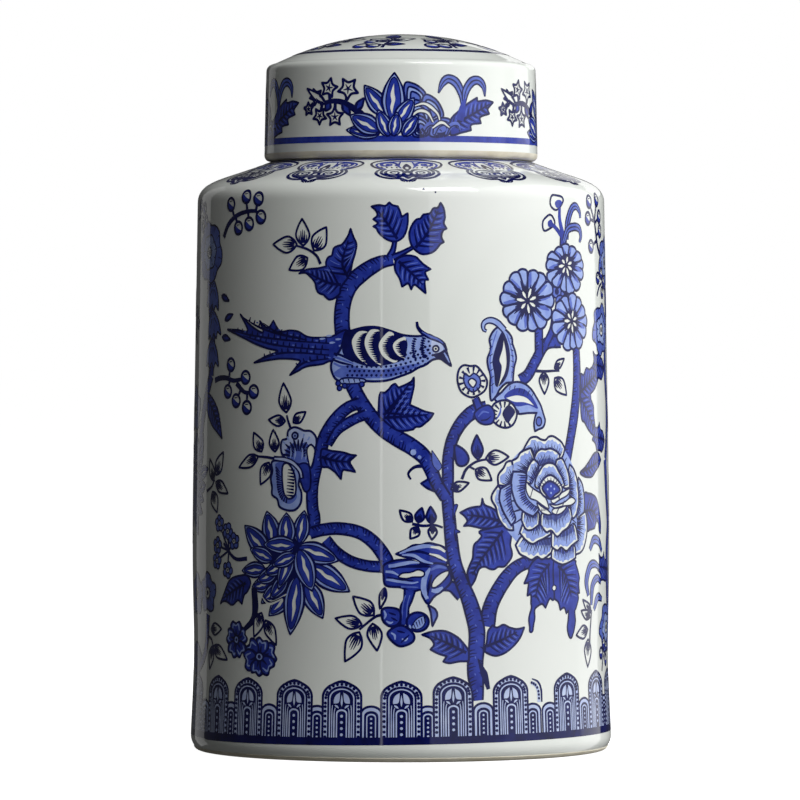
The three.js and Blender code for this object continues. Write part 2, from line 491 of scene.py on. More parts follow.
def twig(points, width=1.0):
    """A thin stem, all in the outline's dark blue."""
    return stroke(points, width, LINE)


# the tall stem on the right, from behind the peony up to the last round flower
scene += branch([(78, 122), (81, 131), (84, 141), (86, 151), (86.5, 160), (86, 171)],
    (5, 5, 5.6, 5.4, 5, 4.5))
# the stems that carry the round flowers
scene += branch([(52, 155), (56, 157.5), (60, 163), (66, 170), (75, 171)], 4.5)
scene += branch([(62, 166), (62, 176)], 4)
scene += branch([(66, 170), (70, 176), (71.5, 183)], 3, bark=False)
scene += branch([(77.5, 209), (78, 216)], 4, bark=False)
# the stem to the lily, then the trunk with its two limbs
scene += branch([(25, 68), (20.5, 71.5), (15, 71), (12.5, 68)], (5, 3.5, 2.4), bark=False)
scene += branch([(36, 55), (37.5, 63), (41.5, 70.5), (47, 77), (53, 80.3), (61, 81.5)],
    (6.5, 6, 5.8, 5, 4.6))
scene += branch([(32, 25), (31.6, 30), (30.8, 38), (31.4, 46), (31.6, 53), (30.3, 59), (28, 66), (24.6, 74),
                 (21.8, 82), (20.5, 91), (19.8, 99), (19.0, 108), (19.2, 116), (19.4, 124), (21.2, 131.5),
                 (25, 138), (30, 142.3), (36, 143.6)],
                (4, 6.3, 6.4, 6.6, 6.4, 5.4, 5, 5, 4.6, 4.4, 4.3, 4.2, 4.4, 5, 6))
scene += stroke([(36.6, 29.5), (35, 35), (32, 42)], (1.6, 3.2, 0.4))
for thorn in ([(21.3, 98.5), (22.2, 101.5), (23.2, 104.6), (21.5, 104.0)],
              [(22.3, 90), (22.6, 93), (24.2, 93.6), (22.0, 94.6)]):
    scene += shape(thorn, DEEP, 0.5)
# the branch that the bird sits on, and its top over the bird's back
scene += branch([(-23.5, 168), (-24.6, 180), (-23.6, 188), (-20.5, 194.5), (-14.8, 199.5), (-8.5, 203),
    (-3.2, 204)], (5.8, 6, 6, 6, 6.2, 5.4, 3.6))
scene += branch([(-4.5, 205.4), (-3.2, 208.4), (-2.4, 212)], (2.4, 1.6, 1.2), bark=False)
scene += branch([(-3.4, 205), (0.5, 206.8), (5.4, 209.4)], (2.2, 1.4, 0.9), bark=False)
scene += shape([(8.2, 113.4), (8.2, 113.4), (11.2, 111.2), (15.6, 110), (15.6, 114), (12, 116),
    (10.8, 115)], DEEP)
scene += branch([(18.3, 107.5), (14.6, 113.4), (12.2, 119), (9.4, 124.2), (4.4, 128.3), (-1.6, 131.8),
                 (-7.6, 135.8), (-12.8, 141.2), (-17, 147.6), (-21, 155.2)],
                (4.4, 4.6, 5, 5.8, 6.2, 6, 5.6, 5.6, 5.2, 5.4))
scene += shape([(12.6, 126.8), (12.6, 126.8), (14.6, 124), (16.6, 120.4), (15, 118.6), (12.8, 121.5)],
    MID, 0.4)
# the two loops on the left that carry the bloom and the lotus
scene += branch([(-17, 146), (-22, 144), (-27, 139.5), (-31, 133.5), (-33.5, 127), (-35.5, 120), (-37, 112),
                 (-37, 104), (-36, 98), (-38, 92)], (4, 4.4, 5, 5, 4.6, 4.6, 4.5))
scene += branch([(-14, 141.5), (-20, 139), (-26, 135), (-30, 129)], (3.5, 3.5, 2.4))
scene += branch([(-31, 90.5), (-27, 86), (-21, 82), (-14, 80), (-7, 79.5)], 4)
scene += branch([(-38, 93), (-32, 94.5), (-25, 95), (-17, 93.5), (-11, 89.5), (-6.5, 83.5), (-5, 79)],
    (4.2, 4.6, 5))
scene += twig([(9, 120.5), (5.5, 120), (3, 117.5), (4, 115)], (1.6, 1.2, 0.8))
scene += spot(5, 126, 1.2, PALE) + spot(7.5, 124, 0.8, PALE)
# ---------------------------------------------------------------------------------------------------
# The leaves: broad ones filled with strong blue, their ribs and veins drawn dark over the wash, and
# small open ones in outline only, which let the white of the pot through.
# ---------------------------------------------------------------------------------------------------
def room(start, way, loop):
    """How far it is from the start, this way, to the loop."""
    a = loop - start
    e = np.roll(a, -1, 0) - a
    turn = way[0] * e[:, 1] - way[1] * e[:, 0]
    turn[np.abs(turn) < 1e-9] = 1e-9
    far = (a[:, 0] * e[:, 1] - a[:, 1] * e[:, 0]) / turn
    along = (a[:, 0] * way[1] - a[:, 1] * way[0]) / turn
    hits = far[(far > 0) & (along >= 0) & (along <= 1)]
    return hits.min() if len(hits) else 0.0


def leaf(outline, *ribs, tone=DEEP, gap=2.7):
    """A broad leaf: blue, with a dark edge and ribs, and veins from each rib out towards the edge."""
    marks = shape(outline, tone, 0.9)
    edge = curve(outline, True)
    uneven = np.random.default_rng(len(outline))
    for rib in ribs:
        line = curve(rib, step=gap / 2)
        side = across(line)
        for i in range(1, len(line) - 1):
            for hand in (-1, 1):
                way = side[i] * hand * 0.8 + (side[i, 1] * 0.6, -side[i, 0] * 0.6)
                reach = room(line[i], way, edge) * uneven.uniform(0.7, 0.88)
                if reach > 1.3:
                    tip = line[i] + way * reach
                    middle = (line[i] + tip) / 2 + side[i] * hand * 0.25
                    if i % 2:
                        marks += stroke([line[i], middle, tip], (1.0, 0.75, 0.25), LINE)
                    else:
                        marks += stroke([line[i] + way * reach * 0.25, middle, tip], (0.2, 0.45, 0.2), MID)
        marks += stroke(rib, (1.3, 1.0, 0.5), LINE)
    return marks


def white_leaf(base, tip, width, hatches=5, tone=BARE):
    """A small open leaf from its base to its tip, with a fan of short strokes at its base."""
    base, along = np.array(base, float), np.array(tip, float) - base
    side = np.array([-along[1], along[0]]) / math.hypot(*along)

    def at(u, v):
        return base + along * u + side * v * width

    marks = shape([at(0, 0), at(0, 0), at(0.18, 0.34), at(0.43, 0.5), at(0.74, 0.3), at(1, 0), at(1, 0),
                   at(0.72, -0.28), at(0.4, -0.48), at(0.16, -0.32)], tone, 0.95)
    for n in range(hatches):
        lean = 2 * n / (hatches - 1) - 1
        far = 0.6 - 0.2 * abs(lean) + 0.06 * (n % 2)
        marks += stroke([at(0.1, lean * 0.12), at(far * 0.6, lean * 0.26), at(far, lean * 0.27)],
            (0.9, 0.7, 0.25))
    return marks


BROAD_LEAVES = [
    # low on the trunk, left and right
    ([(8.5, 52), (8.5, 52), (13, 53.3), (18, 53.4), (23, 51), (26, 48), (28, 45), (28, 41), (28, 41),
      (24, 41), (20, 40.4), (17.3, 41), (17.3, 41), (18.8, 43.2), (18.8, 43.2), (15.5, 44.2), (12, 46),
      (12, 46), (13.5, 48), (12, 50.5)], [(27, 44.5), (20, 48), (12, 51.5)]),
    ([(35, 45), (35, 45), (36, 49), (36.5, 53), (38.5, 55.5), (38.5, 55.5), (40.5, 54.5), (43.5, 55.6),
      (46.5, 54.4), (50, 53.7), (53.7, 54.3), (53.7, 54.3), (51.5, 50), (48, 46.5), (44, 44), (40, 43),
      (36.5, 44)], [(36, 47), (43, 49.5), (50, 52.5)]),
    # left of the trunk below the peony
    ([(24.3, 101.5), (24.3, 101.5), (28, 103.2), (31, 103.8), (33.2, 104.2), (33.8, 107.2), (33.8, 107.2),
      (34.8, 104.6), (38, 103.2), (41, 101), (44, 96), (40, 95), (34, 95), (31, 95.6), (28, 96.2),
      (25.8, 96), (25.8, 96), (27.3, 98), (26.2, 100)], [(43, 97.5), (35, 99.5), (27, 100.5)]),
    ([(33, 94), (33.5, 92), (32, 90), (30.3, 88.5), (29.8, 86), (29.6, 83), (28.5, 80.5), (27.4, 77.5),
      (27.5, 75), (28.7, 71.3), (28.7, 71.3), (30.5, 74), (31.8, 77.5), (33, 79), (35, 79.4), (37, 78.5),
      (39, 78.3), (41, 79.3), (43.5, 79.3), (45.5, 81), (47, 83), (47.3, 85), (46.5, 88), (47, 92),
      (46.5, 94.5), (44, 96)], [(43, 94), (38, 88), (33, 82), (29.5, 76)]),
    # under the bird
    ([(-9, 145), (-8.8, 148.5), (-8.3, 150.3), (-8.3, 150.3), (-6.5, 150.2), (-6.5, 150.2), (-5, 151.5),
      (-3.5, 153.3), (-2.3, 153.8), (-2.3, 153.8), (-1, 152.2), (-1, 152.2), (2, 153.5), (4.3, 154.8),
      (5.3, 156.5), (5.3, 156.5), (5.2, 152.5), (4.3, 148.5), (3.6, 145.3), (3.6, 145.3), (6.5, 144),
      (10, 142.5), (13.3, 141.8), (13.3, 141.8), (12, 139.8), (10, 138), (8, 136.5), (6, 136.3),
      (5, 135.3), (5, 135.3), (2, 134.8), (-1, 134.8), (-4, 136.5), (-7, 139), (-9, 141)],
      [(-7, 141), (-1, 148), (4, 154.5)], [(-7, 140), (2, 140.5), (11, 141.3)]),
    ([(-33, 127), (-28.5, 126.5), (-24, 126), (-20.5, 125), (-18.2, 124.8), (-18.2, 124.8), (-20.5, 122.8),
      (-20.8, 121.5), (-18.6, 118), (-18.6, 118), (-22, 118.7), (-24, 118.5), (-24.6, 115), (-24.6, 115),
      (-27, 117.8), (-30, 119.8), (-33, 120.5)], [(-33, 124), (-27, 122.5), (-20.5, 122)]),
    # round the top of the bird's branch
    ([(-21, 199), (-20.2, 203), (-19, 207), (-18.5, 210.5), (-19.8, 213.5), (-21, 216.8), (-21, 216.8),
      (-22, 214), (-24.5, 210.5), (-26.5, 209.8), (-28.2, 208.8), (-29, 206), (-30.5, 205.3),
      (-31.5, 203.5), (-31.5, 201.5), (-31.5, 201.5), (-35, 200.8), (-40, 200.3), (-44, 198.7),
      (-44, 198.7), (-41, 199), (-38.5, 197.3), (-36.5, 195), (-35.8, 192.5), (-34.8, 190.8),
      (-32.5, 190), (-32.5, 190), (-31.5, 189), (-30, 188), (-27.5, 188.7), (-25.5, 190.5), (-25, 193),
      (-22, 197)], [(-22, 197), (-24.5, 203), (-22, 212)], [(-25, 194), (-31, 195), (-40, 199)]),
    ([(-2.5, 211.5), (-6, 212.5), (-9, 215), (-10.2, 217), (-11.5, 217.6), (-11.5, 217.6), (-9.5, 219),
      (-11.5, 220.6), (-11.5, 220.6), (-9.8, 222), (-10.3, 224), (-12.3, 225.8), (-12.3, 225.8), (-9, 226.3),
      (-6.5, 226), (-4.8, 227.4), (-4.8, 227.4), (-3.5, 226.3), (-1.3, 225.8), (-1.3, 225.8), (-0.5, 224),
      (0.3, 221.5), (0.3, 221.5), (2.8, 223), (2.8, 223), (2.8, 219), (2, 215.5), (0.5, 213)],
     [(-1.5, 212.5), (-5, 218), (-9.5, 224)]),
    ([(5.5, 208.5), (4, 211), (3.5, 215), (4.8, 218.5), (6.5, 220.5), (8, 220.8), (9.3, 222.5),
      (9.3, 222.5), (12, 223), (13.5, 225), (15.3, 225.3), (16.5, 227.3), (16.5, 227.3), (17.8, 225),
      (18.3, 221.5), (17.8, 219), (19, 216.8), (19, 216.8), (17.5, 216), (16.8, 213.5), (17.8, 211.3),
      (17.8, 211.3), (16.3, 210.5), (14.5, 208.3), (12, 206.8), (8.5, 206.5)], [(6, 209), (11, 215),
      (15.5, 224)]),
    ([(-1.5, 204.5), (2, 205.8), (6, 205.3), (9, 202.5), (12.3, 200.3), (12.3, 200.3), (10, 199),
      (11.3, 196), (11.3, 196), (9.8, 195.5), (10.2, 190.5), (10.2, 190.5), (8, 192.3), (5.5, 194),
      (4.2, 192), (4.2, 192), (3, 194.5), (0.5, 193.2), (0.5, 193.2), (-0.5, 196.5), (-2.2, 199.5),
      (-2.5, 202)], [(-1, 203.5), (4, 199), (9, 194)]),
    # the far left, and up the tall stem on the right
    ([(-89, 63), (-89, 63), (-86, 67), (-84, 70), (-82.3, 72.3), (-82.3, 72.3), (-79, 74), (-74, 75),
      (-70, 75), (-68, 72), (-70, 68.5), (-72, 67), (-73.5, 63.3), (-73.5, 63.3), (-76, 64.8), (-79, 63),
      (-81, 62.8), (-81, 62.8), (-84, 64), (-86.5, 64)], [(-71, 72), (-78, 69), (-87, 65)]),
    ([(89.3, 156.5), (92, 157.2), (94.5, 160), (97.5, 159.5), (100, 160.3), (100, 160.3), (104, 159.7),
      (109, 159.5), (109, 159.5), (107, 155), (103, 151.5), (98.5, 149.5), (98.5, 149.5), (99, 147),
      (101.5, 144), (101.8, 140), (104.5, 131.5), (104.5, 131.5), (100, 132.5), (96, 134.5),
      (92.5, 137.5), (89.5, 140.5)], [(89, 150), (97, 154), (106, 158)], [(89, 148), (96, 141),
      (103, 133)]),
    ([(91, 107.5), (95, 108.3), (99, 107.7), (103, 106.3), (105.5, 103.5), (107, 100), (108.6, 95.5),
      (108.3, 91.5), (108.3, 91.5), (106.5, 92.5), (105.5, 96.5), (103.5, 96.8), (101, 93.8), (101, 93.8),
      (96.5, 93.3), (93, 94)], [(92, 101), (99, 101), (106, 95)]),
    ([(88, 117), (91, 115.5), (95, 115), (99, 115.3), (103, 117.5), (107, 119.5), (110, 122), (110, 122),
      (106, 125), (101, 124.5), (96, 121.5), (92, 119)], [(89, 117.3), (99, 119.5), (108, 122)]),
]
for outline, *ribs in BROAD_LEAVES:
    scene += leaf(outline, *ribs)
# the two leaves that hang under the peony
scene += leaf([(66, 82), (60, 82.5), (56, 79), (55.5, 76.5), (53.3, 72.2), (53.3, 72.2), (55.4, 72.3),
    (55.3, 70), (55, 67.2), (55, 67.2), (56.8, 67.5), (57, 64), (57.2, 62), (56, 58), (56.4, 54.5),
    (56.6, 52.5), (57.9, 52.6), (58.5, 55.5), (59, 58), (58.9, 61.3), (60.5, 62.8), (63, 63.6),
    (64.9, 62), (64.9, 62), (66.3, 64.5), (67.5, 65.8), (69.5, 65.2), (70, 70), (70, 82)],
    [(67, 80), (62, 75), (59, 66)])
scene += leaf([(70, 82), (70, 65.5), (70, 65.5), (72.5, 64), (73.8, 60.8), (73.8, 60.8), (75.5, 61.7),
    (76.8, 61.3), (77.8, 59.2), (77.8, 59.2), (79.2, 60.3), (79.2, 57), (78.7, 53.5), (79.3, 51),
    (80.5, 49.3), (81.8, 49.2), (83, 51), (83.7, 52.8), (84.4, 56), (83.8, 60), (84.8, 61.5), (86.3, 65),
    (85.8, 67.5), (85.8, 67.5), (87.2, 67.4), (87.2, 67.4), (86.5, 71), (87, 73.6), (87, 73.6),
    (85.5, 77), (84, 79.5), (83, 81)], [(72, 79), (77, 75), (81, 66)])
scene += spot(69.8, 70, 1.2, BARE, edge=0.6)

# each sprig is its stem, then its open leaves from base to tip with their widths
SPRIGS = [
    ([(-34, 202.5), (-36, 206), (-40, 208.5), (-45, 210)],
     [((-45, 210.5), (-57, 210.7), 6.8), ((-42, 210), (-42.7, 221), 6.5), ((-37, 208), (-31.5, 217.5), 7),
      ((-40, 205), (-48.7, 200.2), 6)]),
    ([(-7, 60), (-10, 59.5), (-14, 56.5), (-17, 54)],
     [((-11, 60), (-19.5, 67.5), 6.5), ((-16, 56), (-27, 58.5), 5.5), ((-11.5, 56.5), (-9.7, 45.5), 6),
      ((-17, 53), (-23, 41), 7), ((-6.5, 71), (-8.5, 62.5), 2.8)]),
    ([(-54, 123), (-60, 123.8), (-66, 124)],
     [((-55, 126), (-56, 135), 5), ((-62, 126), (-66.7, 133.7), 5.5), ((-64, 124), (-75.5, 119.3), 5),
      ((-58, 121.5), (-62.5, 112.5), 6)]),
    ([(-47, 135), (-48.5, 138.5), (-49.3, 141)],
     [((-49.5, 142), (-51, 154), 6), ((-50, 138.5), (-58.5, 139), 4.5), ((-46, 138), (-40.3, 142.3), 4)]),
    ([(4.5, 97), (9, 96.2), (13.5, 96.5), (17, 95.5)],
     [((4.5, 98), (-0.5, 102.5), 4), ((7, 95.5), (3.8, 91), 4), ((13, 96), (12.5, 90.5), 3.6)]),
    ([(25, 115), (26.5, 118.5), (28.5, 120.5), (31, 122), (34, 122.8), (36, 123)],
     [((35.5, 123.5), (46, 124), 6), ((31, 119), (38, 114.5), 5.5), ((20.5, 111), (28, 113.5), 4)]),
    ([(60, 159), (65, 158.8), (70, 159), (74, 159)],
     [((64.5, 158.5), (64.8, 149.5), 5.5), ((71, 156), (78.5, 149), 6.5), ((71, 160), (77.3, 164), 3.4)]),
    ([(97, 46), (97.5, 52), (98.5, 60)],
     [((98, 59), (90, 64.5), 3.5), ((97, 57), (88.8, 60), 4), ((95, 52), (85.3, 50), 5.5),
      ((95.5, 48), (95, 36.5), 6.5)]),
    ([(-102, 109), (-97, 111), (-94, 114)],
     [((-95, 113.5), (-99, 122.5), 5), ((-93, 116), (-86.8, 125.5), 6), ((-93, 113), (-83, 108.5), 5),
      ((-96, 109), (-91.5, 100.5), 6.5)]),
    ([(-101, 49), (-98, 48), (-96, 45)],
     [((-98, 52), (-88.5, 52.5), 5), ((-96, 45), (-84, 40), 5.5), ((-97, 45), (-99.5, 35.5), 5)]),
]
for stem, open_leaves in SPRIGS:
    scene += twig(stem, (1.3, 0.9))
    for base, tip, width in open_leaves:
        scene += white_leaf(base, tip, width)
for base, tip, width in (((7, 97.5), (8.5, 103.5), 3.8), ((12.5, 97), (12, 104), 4),
        ((32, 123), (31.5, 133), 5)):
    scene += white_leaf(base, tip, width, tone=DEEP)
scene += twig([(28.5, 120), (30.5, 119)], 0.9)
scene += shape([(22, 128.5), (24.5, 128), (27, 125.8), (28, 123), (26.5, 120.8), (24, 120.5),
    (22.5, 122.5)], DEEP)
# ---------------------------------------------------------------------------------------------------
# The peony: layers of scalloped petals round a dark heart. Each petal is white at its rim, washed with
# blue towards its root, and combed with fine dark lines. The outermost petals were painted first.
# ---------------------------------------------------------------------------------------------------
def petal(rim, root, tone=BARE, comb=1.35, edge=0.95, washes=((0.2, PALE), (0.7, MID))):
    """A petal: its rim runs over its root, washes deepen towards the root, and lines comb it from there."""
    line, foot = curve(rim, step=comb), curve(root, step=0.4)
    foot = foot[np.linspace(0, len(foot) - 1, len(line)).astype(int)]
    marks = shape(list(rim) + [rim[-1]] + [tuple(p) for p in np.array(root, float)[::-1]] + [rim[0]],
        tone, edge)
    uneven = np.random.default_rng(len(line))
    for depth, wash in washes:
        high = line + (foot - line) * (depth + uneven.uniform(-0.07, 0.07, (len(line), 1)))
        marks += washed([*high[1:-1], foot[-2], *foot[2:-2][::-1], foot[1]], wash)
    for n in range(1, len(line) - 1):
        back, out = foot[n] - line[n], uneven.uniform(0.5, 0.74)
        marks += stroke([foot[n], foot[n] - back * out * (1 if n % 2 else 0.8)], (0.55, 0.55, 0.2))
    return marks


PEONY_PETALS = [
    # the back, from the top down
    ([(53, 126.5), (55, 129.5), (57, 131.6), (60, 132), (62.5, 131), (65, 130.7), (67, 132), (69.5, 132.2),
      (72.5, 131), (75, 129.5), (77, 127)], [(56, 124), (65, 124.5), (74, 123)]),
    ([(47, 117), (46.6, 120), (47, 122), (50, 123.5), (51.5, 125.5), (54, 126.7), (57, 127.5)],
     [(54, 117), (57, 119), (59, 122)]),
    ([(80, 120.5), (83, 118.5), (85.5, 114), (86.5, 108), (86, 102), (83, 98.5), (80, 99)],
     [(79, 116), (80, 110), (79, 103)]),
    ([(86.5, 115), (89, 113), (90.5, 110), (91.3, 105), (91, 101), (89.5, 97.5), (86, 96.5)],
     [(86, 111), (87, 106), (85, 100)]),
    ([(92, 101), (93.3, 98), (93.5, 93), (92, 88.5), (90, 85.5), (87.5, 84), (84.5, 83.3), (83, 81)],
     [(86, 98), (85, 93), (80, 88)]),
    ([(41, 112.5), (41, 116.5), (43.5, 119.5), (45, 121.8), (47.5, 122), (47.5, 118), (46.5, 113)],
     [(47, 112), (48, 114), (49, 118)]),
    # the bottom, from the outside in
    ([(84, 82), (80, 80.5), (75, 79.5), (71, 80.5), (68, 82)], [(83, 87), (76, 86), (69, 87)]),
    ([(68, 84.5), (63, 81.9), (60, 83), (57, 81.8), (54, 83), (51, 84.5), (49, 88)],
     [(69, 90), (60, 90), (53, 92)]),
    ([(86, 89), (81, 87), (77.5, 85), (74, 86.5), (71.5, 85.3), (68, 87)], [(83, 96), (76, 93), (69, 94)]),
    ([(67.5, 92), (64, 90.5), (61, 89.5), (57.5, 88.3), (54, 90), (51, 93)], [(68, 98), (60, 96), (54, 98)]),
    ([(41, 112.5), (38.3, 109), (38, 106.5), (39.8, 103.5), (40.5, 100.5), (42, 97.5), (45, 94.5),
      (48, 94)][::-1], [(44, 108), (46, 103), (47.5, 98)][::-1]),
    ([(81.5, 99), (79, 95), (75, 93), (71.5, 91), (68, 93.5), (65, 93), (62, 96)], [(79, 103), (70, 100),
      (63, 101)]),
    ([(61, 96), (57, 94), (54, 94.5), (52, 98)], [(61, 101), (57, 101), (53, 102.5)]),
    # the bowl round the heart
    ([(58.5, 122.5), (60, 125.5), (62.5, 127), (65, 126.8), (68, 127.2), (71.5, 126), (73.5, 124.5)],
     [(60, 120), (66, 121.5), (72, 120)]),
    ([(54.5, 113.5), (54.5, 117), (56, 120.5), (58.5, 122.8), (61, 121)], [(57, 113), (59, 116), (61, 119)]),
    ([(71.5, 122.5), (75, 123), (77.5, 120), (79.5, 116), (80, 111)], [(71, 119), (74, 116), (76, 111)]),
    ([(59, 112), (59.5, 115), (61.5, 118), (64, 120.5), (67, 121.3), (70.5, 120.5), (73, 117.5), (75, 115),
      (76.5, 112)], [(61, 111), (67, 114), (74, 111)]),
]
scene += washed([(42, 112), (46, 121), (56, 129), (66, 130), (76, 127), (86, 114), (90, 100), (84, 84),
    (70, 83), (54, 86), (41, 100)], PALE)
for n in range(26):
    a = math.tau * n / 26
    way = np.array((math.cos(a), math.sin(a)))
    scene += stroke([(66, 106) + way * 15, (66, 106) + way * 21], (0.9, 0.4))
for rim, root in PEONY_PETALS:
    scene += petal(rim, root)
# the left inner petal turns its blue back outwards, and white crescents curl round the heart
scene += petal([(48, 118), (47, 113), (48, 108), (50, 104), (54, 101), (58, 99.5)],
               [(54.5, 117), (53.5, 111), (54.5, 107), (58, 104), (61, 102.5)], PALE, washes=((0.6, MID),))
scene += petal([(42, 111), (41.4, 107), (42.6, 103), (44.5, 99.6), (47, 96)],
               [(47, 113), (46.6, 108), (47.4, 103), (49, 98.6)], PALE, washes=((0.6, MID),))
CRESCENTS = [
    [(54.5, 113.5), (54.5, 110), (56.5, 107), (59.5, 106), (63, 104), (66.5, 102.5), (66, 105), (64, 108),
      (61, 109.5), (58, 111), (56, 112.5)],
    [(60, 105), (62, 101.5), (65, 100.2), (68, 100.2), (66, 102), (63, 103.4)],
    [(68, 106), (72, 108), (76, 109.5), (80, 110.5), (78.5, 108), (73, 106), (69.5, 104.6)],
    [(68.5, 101), (71, 100), (74, 100.5), (77, 102.3), (77, 103.5), (73, 102.8), (69.5, 102.5)],
    [(67, 104.5), (71, 104), (76, 105), (81, 107), (84, 105.5), (81, 103.8), (75, 103.4), (70, 102.8)],
]
for crescent in CRESCENTS:
    scene += shape(crescent, BARE, 0.7)
    low, high = np.array(crescent[len(crescent) // 4]), np.array(crescent[-2])
    for n in range(5):
        start = low + (high - low) * (0.1 + 0.2 * n)
        scene += stroke([start, start + (0.3, 1.2)], (0.5, 0.2))
# the heart: a white band with dark lashes, closed over a dark eye with a few pale stamens
scene += shape([(61.5, 111), (63, 114), (66, 116), (69, 116), (73, 113.5), (75, 110.5), (73, 108),
    (68, 106.5), (63.5, 108)], BARE)
scene += shape([(63, 111), (65, 113), (67.5, 113.8), (71, 112.5), (73.5, 110), (70, 108), (67.5, 106.5),
                (65, 108.5)], DEEP)
for n in range(9):
    a = math.radians(18 + 18 * n)
    scene += stroke([(68 + 4.3 * math.cos(a), 110.6 + 2.6 * math.sin(a)),
                     (68 + 6.6 * math.cos(a), 110.8 + 4.5 * math.sin(a))], (0.6, 0.25))
for x, z in ((66, 110.5), (68, 111.8), (70, 110.6), (68, 109)):
    scene += spot(x, z, 0.5, PALE)
# ---------------------------------------------------------------------------------------------------
# The lotus on the left: pointed petals of strong blue, each with a thin pale line inside its rim and a
# white streak down the middle, opening round a small seed head.
# ---------------------------------------------------------------------------------------------------
def pointed_petal(base, tip, width, tone=DEEP, streak=True):
    """A pointed petal from its base to its tip."""
    base, along = np.array(base, float), np.array(tip, float) - base
    side = np.array([-along[1], along[0]]) / math.hypot(*along)

    def outline(grow):
        w = width * grow
        return [base + along * u + side * v * w for u, v in (
            (0, 0), (0.12, 0.3), (0.38, 0.48), (0.64, 0.4), (0.85, 0.2), (1 - 0.25 * (1 - grow), 0),
            (1 - 0.25 * (1 - grow), 0), (0.85, -0.2), (0.64, -0.4), (0.38, -0.48), (0.12, -0.3))]

    marks = shape(outline(1), LINE, 0.9)
    marks += shape(outline(0.86), PALE, 0)
    marks += shape(outline(0.64), tone, 0.5)
    if streak:
        spine = [base + along * u + side * v * width for u, v in
                 ((0.12, 0.02), (0.12, 0.02), (0.26, 0.11), (0.4, 0.07), (0.55, 0.12), (0.78, 0), (0.78, 0),
                  (0.58, -0.03), (0.44, -0.08), (0.28, -0.02))]
        marks += washed(spine, BARE)
    return marks


LOTUS_PETALS = [
    ((-60, 78), (-73, 77), 6.5), ((-58, 72), (-67, 70.5), 6), ((-55, 88), (-59, 101.5), 9.5),
    ((-43, 89), (-40.5, 102), 7.5), ((-49, 88), (-49, 101), 9), ((-58, 84), (-71.5, 95.5), 9.5),
    ((-56, 82), (-68, 86), 6.5), ((-47, 69), (-58, 59), 7.5), ((-52, 72), (-62, 64), 6),
    ((-40, 73), (-32.5, 58.5), 9), ((-54, 77), (-64, 73), 6.5), ((-44, 75), (-47.5, 51.5), 10),
    ((-38, 80), (-21, 69.5), 10), ((-49, 75), (-57, 66), 6.5), ((-43, 87), (-25.5, 82), 9),
      ((-50, 80), (-60, 76), 6),
    ((-46, 86), (-53, 70), 7), ((-43, 86), (-37, 69.5), 10), ((-45, 88), (-60.5, 88), 7.5),
      ((-45, 84), (-56, 79.5), 6),
]
scene += washed([(-58, 86), (-52, 90), (-46, 91), (-41, 87), (-40, 78), (-43, 72), (-49, 70), (-56, 76)],
                LINE)
for base, tip, width in LOTUS_PETALS:
    scene += pointed_petal(base, tip, width)
for n in range(3):
    scene += stroke([(-49 - n, 68 - n), (-55 - 1.5 * n, 65 - 0.6 * n), (-60 - 1.2 * n, 65.5 + n)],
        (0.5, 1.0, 0.4), BARE if n % 2 == 0 else LINE)
# ---------------------------------------------------------------------------------------------------
# The round flowers high on the right: frilled discs of many small petals in pale and mid blue, with a
# dark eye and a ring of white stamens.
# ---------------------------------------------------------------------------------------------------
def round_flower(x, z, wide, tall, petals, turn=0.0, lean=(0.0, 0.0)):
    """A frilled disc, wide by tall, whose eye may lean to one side."""
    eye = np.array((x, z)) + lean
    uneven = np.random.default_rng(petals + int(x))
    marks = spot(x, z, wide * 0.85, LINE, tall / wide)

    def at(a, r):
        return eye + (np.array((x + wide * math.cos(a), z + tall * math.sin(a))) - eye) * r

    for n in range(petals):
        a = math.radians(turn) + math.tau * (n + uneven.uniform(-0.16, 0.16)) / petals
        w, far = math.tau / petals * 0.56, uneven.uniform(0.93, 1.03)
        marks += shape([at(a - 0.85 * w, 0.3), at(a - w, 0.72), at(a - 0.85 * w, 0.93 * far),
            at(a - 0.25 * w, far), at(a + 0.3 * w, 0.99 * far), at(a + 0.85 * w, 0.92 * far),
            at(a + w, 0.72), at(a + 0.85 * w, 0.3)], PALE, 1.0)
        marks += stroke([at(a + 0.55 * w, 0.86), at(a + 0.6 * w, 0.62), at(a + 0.3 * w, 0.42)],
            (0.6, 2.2, 1.6), MID)
    for n in range(2 * petals):
        a = math.tau * (n + uneven.uniform(-0.2, 0.2)) / petals / 2
        marks += stroke([at(a, 0.18), at(a, 0.36), at(a, 0.64 if n % 2 else 0.5)], (1.5, 1.4, 0.3))
    marks += spot(*eye, wide * 0.34, LINE)
    for n in range(7):
        a = math.radians(turn + 20) + math.tau * n / 7
        marks += stroke([at(a, 0.1), at(a, 0.24), at(a, 0.38 if n % 2 else 0.32)], (0.3, 1.4, 0.7), BARE)
    return marks


# three flowers, with a tuft of small lobes between them
for x, z, r in ((76, 195.5, 3.4), (73, 191.5, 3.0), (79, 190.5, 3.4), (75, 187.5, 2.8)):
    scene += spot(x, z, r, MID, 0.9, 0.8) + spot(x, z, r * 0.45, LINE)
scene += round_flower(80, 201, 13.5, 10.5, 13, 8, (-0.5, 1.5))
scene += round_flower(82.5, 179, 13, 12, 13, 3, (0.5, 0.5))
scene += round_flower(56.5, 188, 14.5, 13.5, 14, 0, (-0.5, -0.5))
